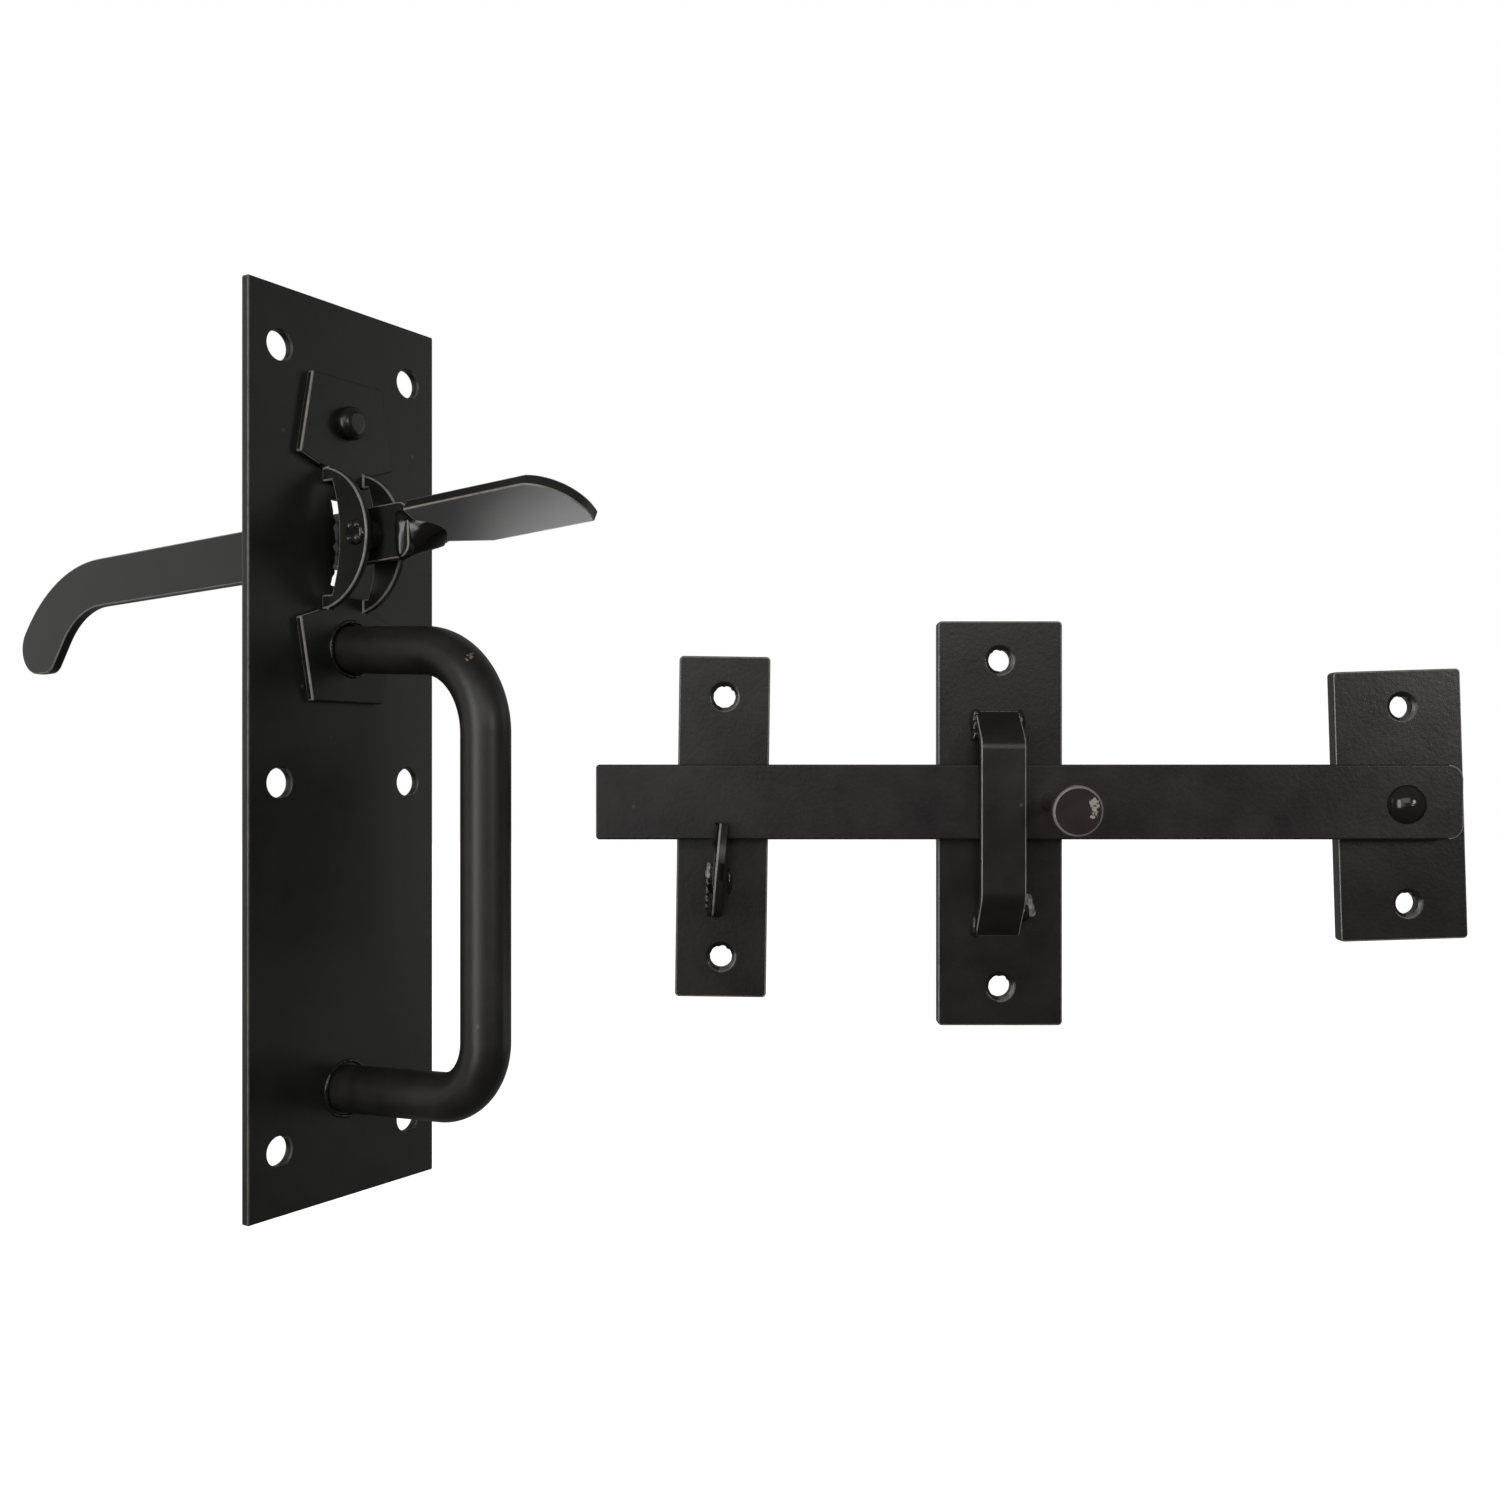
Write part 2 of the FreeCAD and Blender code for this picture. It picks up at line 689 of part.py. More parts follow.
def make_latch_bar():
    """Flat latch bar with a round tail end, drilled for its pivot; its frame is the pivot's axis."""
    back = "-strip_thick - latch_gap"
    body = new_body("latch_bar", leaning("pivot_x", back, "pivot_z", "0"))
    sketch = new_sketch(body, "XZ_Plane")
    draw_outline(sketch, [
        ("-latch_reach", "-latch_drop"),
        ("latch_tail", "-latch_drop"),
        ("latch_tail", "latch_height - latch_drop"),
        ("-latch_reach", "latch_height - latch_drop"),
    ])
    add_pad(body, sketch, "latch_thick")
    tail = value("latch_tail")
    nose = -value("latch_reach")
    front = -value("latch_thick")
    add_round(body, "latch_tail_round",
              lambda edge: runs_along(edge, ALONG_Y) and all_at(edge, ALONG_X, tail))
    add_round(body, "latch_nose_round",
              lambda edge: runs_along(edge, ALONG_Y) and all_at(edge, ALONG_X, nose))
    add_round(body, "latch_edge", lambda edge: all_at(edge, ALONG_Y, front))
    bore = new_sketch(body, "XZ_Plane")
    draw_circle(bore, "0", "0", "pivot_shank_dia + 2 * pivot_clearance")
    add_cut(body, bore, "latch_thick * 4")
    return body


def make_pivot_rivet():
    """Domed rivet through the pivot plate, on which the bar turns."""
    body = new_body("pivot_rivet", leaning("pivot_x", "0", "pivot_z", "0"))
    sketch = new_sketch(body, "YZ_Plane")
    seat = "-(strip_thick + latch_gap + latch_thick + pivot_head_gap)"
    edge = value("pivot_head_dia / 2")
    height = value("pivot_head_rise")
    dome = (edge ** 2 + height ** 2) / (2 * height)
    half_turn = math.asin(edge / dome) / 2
    rise = height - dome * (1 - math.cos(half_turn))
    out = dome * math.sin(half_turn)
    draw_outline(sketch, [
        ("0", "0"),
        (seat + " - pivot_head_rise", "0", (seat + " - " + repr(rise), repr(out))),
        (seat, "pivot_head_dia / 2"),
        (seat, "pivot_shank_dia / 2"),
        ("0", "pivot_shank_dia / 2"),
    ])
    add_turned(body, sketch, "H_Axis")
    return body


def make_lift_knob():
    """Stud with a flat round head, standing out of the bar and drooping slightly."""
    front = "-strip_thick - latch_gap - latch_thick"
    droop = Rotation(ALONG_X, value("knob_lean_down"))
    side = Rotation(ALONG_Z, value("knob_lean_side"))
    place = Placement(Vector(value("knob_x"), value(front), value("knob_z")), side.multiply(droop))
    body = new_body("lift_knob", place)
    sketch = new_sketch(body, "YZ_Plane")
    draw_outline(sketch, [
        ("0.1", "0"),
        ("-knob_stem_length - knob_head_thick", "0"),
        ("-knob_stem_length - knob_head_thick", "knob_head_dia / 2 - knob_head_edge"),
        ("-knob_stem_length - knob_head_thick + knob_head_edge", "knob_head_dia / 2"),
        ("-knob_stem_length - 0.3", "knob_head_dia / 2"),
        ("-knob_stem_length", "knob_head_dia / 2 - 0.3"),
        ("-knob_stem_length", "knob_stem_dia / 2"),
        ("0.1", "knob_stem_dia / 2"),
    ])
    add_turned(body, sketch, "H_Axis")
    return body


def make_guide_strap():
    """Flat strap bent into a bridge over the bar, a foot on the guide plate at each end."""
    body = new_body("guide_strap", leaning("strap_x", "0", "0", "0"))
    sketch = new_sketch(body, "YZ_Plane")
    reach = value("strap_front - strip_thick")
    inner = value("strap_front - strap_thick")
    seat = value("strip_thick")

    def inner_edge(foot, bend):
        slope = (value(foot) - value(bend)) / reach
        step = value("strap_thick") * (1 + slope ** 2) ** 0.5
        at_seat = abs(value(foot)) - step
        at_front = at_seat - abs(slope) * (inner - seat)
        way = 1 if value(foot) > 0 else -1
        return way * at_seat, way * at_front

    top_seat, top_front = inner_edge("strap_top_foot", "strap_top_bend")
    low_seat, low_front = inner_edge("strap_low_foot", "strap_low_bend")
    draw_outline(sketch, [
        ("-strip_thick", "strap_top_foot"),
        ("-strap_front", "strap_top_bend"),
        ("-strap_front", "strap_low_bend"),
        ("-strip_thick", "strap_low_foot"),
        ("-strip_thick", repr(low_seat)),
        ("strap_thick - strap_front", repr(low_front)),
        ("strap_thick - strap_front", repr(top_front)),
        ("-strip_thick", repr(top_seat)),
    ])
    add_pad(body, sketch, "strap_width", symmetric=True)
    front = -value("strap_front")
    add_round(body, "strap_bend_round",
              lambda edge: runs_along(edge, ALONG_X) and all_at(edge, ALONG_Y, front))
    return body


def make_keeper_hook():
    """Hook cut from flat bar: seat for the latch bar, tip in front of it, ramped convex front."""
    body = new_body("keeper_hook", leaning("hook_x", "0", "hook_mid_z", "hook_lean"))
    sketch = new_sketch(body, "YZ_Plane")
    bar_bottom = "(pivot_z - latch_drop - hook_mid_z)"
    seat = bar_bottom + " - hook_seat_gap"
    throat = "-(strip_thick + latch_gap + latch_thick + hook_throat)"
    tip = bar_bottom + " + hook_tip_above"
    draw_outline(sketch, [
        ("-strip_thick", seat),
        (throat, seat),
        (throat + " - 0.3", tip),
        (throat + " - hook_tip_thick", tip, ("-hook_belly", "hook_belly_z - hook_mid_z")),
        ("-hook_heel_out", "hook_heel_z - hook_mid_z"),
        ("-strip_thick", "hook_foot_z - hook_mid_z"),
    ])
    add_pad(body, sketch, "hook_thick", symmetric=True)
    return body


def weld_bead(name, x, z, side, leg, length):
    """A quarter-round run of weld in the corner between a plate's face and a part standing on it."""
    lump = doc.addObject("Part::Ellipsoid", name + "_lump")
    lump.setExpression("Radius1", linked(length))
    lump.setExpression("Radius2", linked(leg))
    lump.setExpression("Radius3", linked(leg))
    lump.Angle1 = -90
    lump.Angle2 = 90
    lump.Angle3 = 360
    corner = doc.addObject("Part::Box", name + "_corner")
    reach = value(length) * 2
    corner.Length = reach
    corner.Width = reach
    corner.Height = reach * 2
    corner.Placement.Base = Vector(0 if side > 0 else -reach, -reach, -reach)
    bead = doc.addObject("Part::Common", name)
    bead.Base = lump
    bead.Tool = corner
    bead.Placement.Base = Vector(value(x), -value("strip_thick"), value(z))
    return bead


def make_set_welds():
    """Weld beads beside the strap's feet, the lower right one a heavy blob, and beside the hook."""
    right = "strap_x + strap_width / 2"
    left = "strap_x - strap_width / 2"
    beads = [
        weld_bead("strap_weld_top_left", left, "strap_top_foot - weld_inset", -1, "weld_leg", "weld_length"),
        weld_bead("strap_weld_top_right", right, "strap_top_foot - weld_inset", 1, "weld_leg", "weld_length"),
        weld_bead("strap_weld_low_left", left, "strap_low_foot + weld_inset", -1, "weld_leg", "weld_length"),
        weld_bead("strap_weld_low_right", right, "strap_low_foot + weld_blob_inset", 1, "weld_blob",
                  "weld_blob"),
    ]
    group = doc.addObject("Part::Compound", "guide_welds")
    group.Links = beads
    hook_beads = []
    for name, side in (("hook_weld_left", -1), ("hook_weld_right", 1)):
        edge = "hook_x + %d * (hook_thick / 2 + hook_weld_out)" % side
        hook_beads.append(weld_bead(name, edge, "hook_mid_z - hook_weld_drop", side, "hook_weld_leg",
                                    "weld_length"))
    hook_group = doc.addObject("Part::Compound", "keeper_welds")
    hook_group.Links = hook_beads
    return group, hook_group


def make_pad_weld():
    """The weld that bridges the tongue's nose and the pad's root, and fills out below the pad."""
    place = in_unit("bracket_side", "-back_thick", "pin_height + pad_lift", pad_turn())

    def block(name, y, z, depth, height):
        box = doc.addObject("Part::Box", name)
        box.setExpression("Length", linked("4 * pad_weld_radius"))
        box.setExpression("Width", linked(depth))
        box.setExpression("Height", linked(height))
        corner = Vector(-2 * value("pad_weld_radius"), value(y), value(z))
        box.Placement = place.multiply(Placement(corner, Rotation()))
        return box

    lump = doc.addObject("Part::Sphere", "pad_weld_lump")
    lump.setExpression("Radius", linked("pad_weld_radius"))
    centre = Vector(value("pad_weld_side"), -value("pad_root"), -value("pad_weld_drop"))
    lump.Placement = place.multiply(Placement(centre, Rotation()))
    room = doc.addObject("Part::MultiFuse", "pad_weld_room")
    room.Shapes = [
        block("pad_weld_below", "-pad_root - 2 * pad_weld_radius", "-2 * pad_weld_radius",
              "2 * pad_weld_radius", "2 * pad_weld_radius"),
        block("pad_weld_behind", "-pad_root", "-2 * pad_weld_radius", "pad_weld_gap", "4 * pad_weld_radius"),
    ]
    weld = doc.addObject("Part::Common", "pad_weld")
    weld.Base = lump
    weld.Tool = room
    return weld


make_back_plate()
make_lever_bracket()
make_bracket_rivet()
make_lever_pin()
make_lever_spacers()
make_lift_tongue()
make_thumb_pad()
make_pad_weld()
make_pull_handle()
make_foot_welds()
make_plates()
make_latch_bar()
make_pivot_rivet()
make_lift_knob()
make_guide_strap()
make_keeper_hook()
make_set_welds()
doc.recompute()

NODES = [
    "back_plate", "lever_bracket", "bracket_rivet", "lever_pin", "lever_spacers", "lift_tongue",
    "thumb_pad", "pad_weld", "pull_handle", "handle_foot_welds", "guide_plate", "keeper_plate", "pivot_plate",
    "latch_bar", "pivot_rivet", "lift_knob", "guide_strap", "keeper_hook", "guide_welds",
    "keeper_welds",
]

for item in doc.Objects:
    if "Invalid" in item.State or "Error" in item.State:
        raise RuntimeError("%s failed to build: %s" % (item.Label, item.State))
for node in NODES:
    shape = doc.getObject(node).Shape
    if shape.isNull() or not shape.isValid() or not shape.Solids:
        raise RuntimeError("%s has no valid solid" % node)
    shape.exportStep("parts/%s.step" % node)
    box = shape.BoundBox
    print("%-18s %9.1f mm3  X %7.1f..%7.1f  Y %7.1f..%7.1f  Z %7.1f..%7.1f  solids %d" % (
        node, shape.Volume, box.XMin, box.XMax, box.YMin, box.YMax, box.ZMin, box.ZMax,
        len(shape.Solids)))
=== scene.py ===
"""Gate thumb latch: the looks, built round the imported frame.

The handle unit has a back plate, a folded bracket that carries the thumb lever on a hammered
pin, and a round pull handle. The bar set has a latch bar on a domed rivet, a guide strap, a
hooked keeper and their three flat plates.
"""

import json
import logging
import math
from dataclasses import dataclass
from enum import Enum
from typing import Any, Iterable, Optional, Sequence

import bmesh
import bpy
from mathutils import Matrix, Vector


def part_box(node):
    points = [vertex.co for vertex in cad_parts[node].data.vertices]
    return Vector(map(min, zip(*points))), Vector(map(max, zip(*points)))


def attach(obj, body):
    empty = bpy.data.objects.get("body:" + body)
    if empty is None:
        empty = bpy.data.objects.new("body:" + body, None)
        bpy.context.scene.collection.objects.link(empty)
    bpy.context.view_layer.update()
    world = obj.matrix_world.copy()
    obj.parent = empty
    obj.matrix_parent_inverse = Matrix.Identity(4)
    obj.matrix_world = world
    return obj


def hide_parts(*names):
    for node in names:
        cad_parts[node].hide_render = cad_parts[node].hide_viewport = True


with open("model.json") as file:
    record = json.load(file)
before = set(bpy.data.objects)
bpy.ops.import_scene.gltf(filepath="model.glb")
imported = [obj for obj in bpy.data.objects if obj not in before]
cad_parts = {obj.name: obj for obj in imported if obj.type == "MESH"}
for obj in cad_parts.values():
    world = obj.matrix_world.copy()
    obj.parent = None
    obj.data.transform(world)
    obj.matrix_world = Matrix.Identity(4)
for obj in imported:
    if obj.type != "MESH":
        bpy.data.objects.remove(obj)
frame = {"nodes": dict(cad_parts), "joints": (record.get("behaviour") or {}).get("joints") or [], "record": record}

LOG = logging.getLogger("thumb_latch")
MM = 0.001


class Gloss(Enum):
    """How level the coat has flowed out, as a roughness."""

    SATIN = 0.40
    SEMI = 0.28
    WET = 0.18
    GLASSY = 0.11


class Body(Enum):
    FIXED = "fixed_plates"
    LEVER = "thumb_lever"
    ARM = "latch_arm"


def linear(hex_colour: str) -> tuple[float, float, float, float]:
    """Turn an sRGB hex colour to the linear one that a shader takes.

    Args:
        hex_colour: The colour, as "#rrggbb".

    Returns:
        Linear red, green and blue, and an alpha of one.
    """
    channels = []
    for start in (1, 3, 5):
        level = int(hex_colour[start:start + 2], 16) / 255
        channels.append(level / 12.92 if level <= 0.04045 else ((level + 0.055) / 1.055) ** 2.4)
    return (channels[0], channels[1], channels[2], 1.0)


def add_node(
    tree: bpy.types.NodeTree,
    kind: str,
    settings: Optional[dict[Any, Any]] = None,
    links: Optional[dict[Any, bpy.types.NodeSocket]] = None,
) -> bpy.types.Node:
    """Add a node with its settings and its links.

    Args:
        tree: The node tree that gets the node.
        kind: The node's type name.
        settings: Properties by name, and unlinked inputs by name or number.
        links: Sockets that feed the node's inputs, by the input's name or number.

    Returns:
        The new node.
    """
    node = tree.nodes.new(kind)
    for key, setting in (settings or {}).items():
        if isinstance(key, str) and hasattr(node, key):
            setattr(node, key, setting)
        else:
            node.inputs[key].default_value = setting
    for key, socket in (links or {}).items():
        tree.links.new(socket, node.inputs[key])
    return node


@dataclass(frozen=True)
class Scar:
    """A place where the coat is chipped, scraped or built up, at a point on the piece."""

    at_mm: tuple[float, float, float]
    radius_mm: float
    hex_colour: str
    ragged_mm: float = 1.0


@dataclass(frozen=True)
class PowderCoat:
    """Black polyester powder, sprayed on steel and stoved.

    It flows to a fine orange peel over the mill surface of the steel, so it looks near black with soft, slightly
    broken reflections; a brighter grey line is painted on sharp edges as their highlight.
    """

    name: str
    gloss: Gloss
    dark_hex: str = "#1b1a18"
    light_hex: str = "#2b2926"
    mottle_mm: float = 16.0
    peel_mm: float = 1.1
    peel_depth_mm: float = 0.012
    wave_mm: float = 22.0
    wave_depth_mm: float = 0.10
    nib_every_mm: float = 15.0
    nib_hex: str = "#4c4944"
    scars: tuple[Scar, ...] = ()

    def material(self) -> bpy.types.Material:
        """Make the coat's node material.

        Returns:
            The material, on Object coordinates in millimetres.
        """
        material = bpy.data.materials.new(self.name)
        material.use_nodes = True
        tree = material.node_tree
        tree.nodes.clear()
        place = add_node(tree, "ShaderNodeTexCoord")
        mm = add_node(tree, "ShaderNodeVectorMath", {"operation": "SCALE", "Scale": 1 / MM},
                      {"Vector": place.outputs["Object"]}).outputs["Vector"]
        mottle = add_node(tree, "ShaderNodeTexNoise",
                          {"Scale": 1 / self.mottle_mm, "Detail": 4.0, "Roughness": 0.6},
                          {"Vector": mm}).outputs["Fac"]
        spread = add_node(tree, "ShaderNodeMapRange",
                          {"From Min": 0.35, "From Max": 0.65}, {"Value": mottle}).outputs["Result"]
        colour = add_node(tree, "ShaderNodeMix",
                          {"data_type": "RGBA", 6: linear(self.dark_hex), 7: linear(self.light_hex)},
                          {0: spread}).outputs[2]
        nib = add_node(tree, "ShaderNodeTexVoronoi", {"Scale": 1 / self.nib_every_mm},
                       {"Vector": mm}).outputs["Distance"]
        nib = add_node(tree, "ShaderNodeMapRange", {"From Min": 0.045, "From Max": 0.02},
                       {"Value": nib}).outputs["Result"]
        colour = add_node(tree, "ShaderNodeMix", {"data_type": "RGBA", 7: linear(self.nib_hex)},
                          {0: nib, 6: colour}).outputs[2]
        rough = add_node(tree, "ShaderNodeMapRange",
                         {"To Min": self.gloss.value - 0.05, "To Max": self.gloss.value + 0.07},
                         {"Value": mottle}).outputs["Result"]
        for scar in self.scars:
            colour, rough = self.chip(tree, scar, mm, colour, rough)
        peel = add_node(tree, "ShaderNodeTexNoise",
                        {"Scale": 1 / self.peel_mm, "Detail": 2.0, "Roughness": 0.45},
                        {"Vector": mm}).outputs["Fac"]
        wave = add_node(tree, "ShaderNodeTexNoise",
                        {"Scale": 1 / self.wave_mm, "Detail": 1.0}, {"Vector": mm}).outputs["Fac"]
        lie = add_node(tree, "ShaderNodeBump", {"Distance": self.wave_depth_mm * MM},
                       {"Height": wave}).outputs["Normal"]
        lie = add_node(tree, "ShaderNodeBump", {"Distance": self.peel_depth_mm * MM},
                       {"Height": peel, "Normal": lie}).outputs["Normal"]
        lie = self.relief(tree, mm, lie)
        shader = add_node(tree, "ShaderNodeBsdfPrincipled", {"IOR": 1.5},
                          {"Base Color": colour, "Roughness": rough, "Normal": lie})
        add_node(tree, "ShaderNodeOutputMaterial", {}, {"Surface": shader.outputs["BSDF"]})
        return material

    def relief(
        self, tree: bpy.types.NodeTree, mm: bpy.types.NodeSocket, lie: bpy.types.NodeSocket
    ) -> bpy.types.NodeSocket:
        """Add relief of the metal under the coat: none on a rolled surface."""
        return lie

    def chip(
        self,
        tree: bpy.types.NodeTree,
        scar: Scar,
        mm: bpy.types.NodeSocket,
        colour: bpy.types.NodeSocket,
        rough: bpy.types.NodeSocket,
    ) -> tuple[bpy.types.NodeSocket, bpy.types.NodeSocket]:
        """Lay one ragged scar over the coat.

        Args:
            tree: The coat's node tree.
            scar: Where the scar is, its size and its colour.
            mm: The place on the piece, in millimetres.
            colour: The coat's colour so far.
            rough: The coat's roughness so far.

        Returns:
            The colour and the roughness with the scar on them.
        """
        away = add_node(tree, "ShaderNodeVectorMath", {"operation": "DISTANCE", 1: scar.at_mm},
                        {0: mm}).outputs["Value"]
        tear = add_node(tree, "ShaderNodeTexNoise", {"Scale": 1 / scar.ragged_mm, "Detail": 3.0},
                        {"Vector": mm}).outputs["Fac"]
        edge = add_node(tree, "ShaderNodeMath", {"operation": "MULTIPLY_ADD", 1: 2 * scar.radius_mm},
                        {0: tear, 2: away}).outputs[0]
        bare = add_node(tree, "ShaderNodeMapRange",
                        {"From Min": 1.75 * scar.radius_mm, "From Max": 1.6 * scar.radius_mm},
                        {"Value": edge}).outputs["Result"]
        chipped = add_node(tree, "ShaderNodeMix", {"data_type": "RGBA", 7: linear(scar.hex_colour)},
                           {0: bare, 6: colour}).outputs[2]
        dulled = add_node(tree, "ShaderNodeMath", {"operation": "MULTIPLY_ADD", 1: 0.2},
                          {0: bare, 2: rough}).outputs[0]
        return chipped, dulled


@dataclass(frozen=True)
class EdgeCoat(PowderCoat):
    """A smooth coat without nibs, greyer and shinier; in pale greys it paints highlights: fine lines along edges
    and glints on spatter.
    """

    nib_every_mm: float = 400.0
    peel_depth_mm: float = 0.004
    wave_depth_mm: float = 0.0


@dataclass(frozen=True)
class HammeredCoat(PowderCoat):
    """The same coat over a hammered rivet end, so broad dents show through it."""

    dent_mm: float = 2.4
    dent_depth_mm: float = 0.25

    def relief(
        self, tree: bpy.types.NodeTree, mm: bpy.types.NodeSocket, lie: bpy.types.NodeSocket
    ) -> bpy.types.NodeSocket:
        """Add hammer dents under the coat."""
        dents = add_node(tree, "ShaderNodeTexVoronoi",
                         {"feature": "SMOOTH_F1", "Scale": 1 / self.dent_mm, "Smoothness": 0.4},
                         {"Vector": mm}).outputs["Distance"]
        return add_node(tree, "ShaderNodeBump", {"Distance": self.dent_depth_mm * MM},
                        {"Height": dents, "Normal": lie}).outputs["Normal"]


@dataclass(frozen=True)
class WeldCoat(PowderCoat):
    """The coat over weld metal: it pools glossy between the weld's ripples and spatter."""

    ripple_mm: float = 1.6
    ripple_depth_mm: float = 0.16

    def relief(
        self, tree: bpy.types.NodeTree, mm: bpy.types.NodeSocket, lie: bpy.types.NodeSocket
    ) -> bpy.types.NodeSocket:
        """Add the weld's frozen ripples under the coat."""
        ripples = add_node(tree, "ShaderNodeTexNoise",
                           {"Scale": 1 / self.ripple_mm, "Detail": 1.5, "Distortion": 0.8},
                           {"Vector": mm}).outputs["Fac"]
        return add_node(tree, "ShaderNodeBump", {"Distance": self.ripple_depth_mm * MM},
                        {"Height": ripples, "Normal": lie}).outputs["Normal"]


def in_mm(point: Vector) -> tuple[float, float, float]:
    """Give a point of the frame in millimetres."""
    return tuple(round(component / MM, 3) for component in point)


def finished(
    name: str,
    shape: bmesh.types.BMesh,
    body: Body,
    materials: Sequence[bpy.types.Material],
    replaces: Sequence[str] = (),
    crease_deg: float = 38.0,
) -> bpy.types.Object:
    """Make a piece of the object from a finished bmesh.

    Args:
        name: The piece's name.
        shape: The mesh, in the row frame. It is freed here.
        body: The body that the piece rides on.
        materials: The coat, and after it the painted highlight for the edges.
        replaces: CAD nodes that the piece stands for.
        crease_deg: Edges sharper than this stay sharp in the shading.

    Returns:
        The new object, at the origin.
    """
    mesh = bpy.data.meshes.new(name)
    shape.to_mesh(mesh)
    shape.free()
    mesh.shade_smooth()
    mesh.set_sharp_from_angle(angle=math.radians(crease_deg))
    for material in materials:
        mesh.materials.append(material)
    piece = bpy.data.objects.new(name, mesh)
    bpy.context.scene.collection.objects.link(piece)
    evened = piece.modifiers.new("even_shading", "WEIGHTED_NORMAL")
    evened.weight = 100
    evened.keep_sharp = True
    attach(piece, body.value)
    if replaces:
        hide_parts(*replaces)
    LOG.info("%s: %d faces, rides on %s", name, len(mesh.polygons), body.value)
    return piece


def merged_copy(node: str, flat_deg: float = 0.4) -> bmesh.types.BMesh:
    """Copy a CAD node's mesh with its loose triangles joined up and its flats made whole.

    Args:
        node: The CAD node's name.
        flat_deg: Faces that meet at less than this angle become one.

    Returns:
        The copy, as a bmesh in the row frame.
    """
    shape = bmesh.new()
    shape.from_mesh(frame["nodes"][node].data)
    bmesh.ops.remove_doubles(shape, verts=shape.verts, dist=0.002 * MM)
    bmesh.ops.dissolve_limit(shape, angle_limit=math.radians(flat_deg), verts=shape.verts,
                             edges=shape.edges, use_dissolve_boundaries=False)
    return shape


def ease_edges(shape: bmesh.types.BMesh, width_mm: float, sharper_deg: float = 32.0) -> None:
    """Round a sheared or sawn piece's sharp edges a little, and paint a highlight line on them.

    Args:
        shape: The mesh to work on.
        width_mm: How wide the eased edge is.
        sharper_deg: Only edges that turn by more than this are eased.
    """
    sharp = [edge for edge in shape.edges
             if edge.is_manifold and edge.calc_face_angle() > math.radians(sharper_deg)]
    eased = bmesh.ops.bevel(shape, geom=sharp, offset=width_mm * MM, offset_type="OFFSET",
                            segments=2, profile=0.5, affect="EDGES", material=-1)
    for face in eased["faces"]:
        face.material_index = 1


ROUND_FACING = (0.6, 0.97)
ROUND_DEPTH_MM = 0.8


def highlight_on_rounds(shape: bmesh.types.BMesh, ahead: Vector, beyond_x: float = -1.0) -> None:
    """Paint a highlight line on the narrow rounds between a plate's front and its sides.

    Args:
        shape: The plate.
        ahead: The way that the front face looks.
        beyond_x: Only rounds further along X than this are marked, in metres.
    """
    level = max(vert.co.dot(ahead) for vert in shape.verts)
    for face in shape.faces:
        facing = face.normal.dot(ahead)
        deep = level - face.calc_center_median().dot(ahead)
        inner_round = ROUND_FACING[0] < facing < ROUND_FACING[1] and deep < ROUND_DEPTH_MM * MM
        if inner_round and face.calc_center_median().x > beyond_x:
            face.material_index = 1


def lump(radius_mm: Vector, place: Matrix, rings: int = 3) -> bmesh.types.BMesh:
    """Make a rounded lump of metal, as a closed shell.

    Args:
        radius_mm: Its half sizes along its own three axes.
        place: Where it sits and how it is turned, in metres.
        rings: How finely it is divided.

    Returns:
        The lump, as a bmesh in the row frame.
    """
    shape = bmesh.new()
    bmesh.ops.create_icosphere(shape, subdivisions=rings, radius=1.0)
    bmesh.ops.scale(shape, vec=radius_mm * MM, verts=shape.verts)
    bmesh.ops.transform(shape, matrix=place, verts=shape.verts)
    return shape


def bead(
    start: Vector,
    end: Vector,
    radius_mm: float,
    count: int,
    seed: int,
    uneven: float = 0.35,
    taper: float = 0.0,
) -> list[bmesh.types.BMesh]:
    """Lay a row of uneven lumps, as a hand-held torch leaves them.

    Args:
        start: Where the row starts, in metres.
        end: Where it ends.
        radius_mm: The lumps' mean radius.
        count: How many lumps there are.
        seed: Which way the lumps wander.
        uneven: How much the lumps differ and wander, as a part of their radius.
        taper: How much smaller the last lump is than the first, as a part of its radius.

    Returns:
        The lumps.
    """
    lumps = []
    for number in range(count):
        wander = math.sin(2.3 * number + seed)
        along = number / max(1, count - 1)
        size = radius_mm * (1 + uneven * math.sin(4.1 * number + 2 * seed)) * (1 - taper * along)
        place = Matrix.Translation(start.lerp(end, along))
        place.translation += Vector((uneven * radius_mm * wander * MM, 0, 0))
        lumps.append(lump(Vector((size, size * 0.9, size * 1.15)), place))
    return lumps


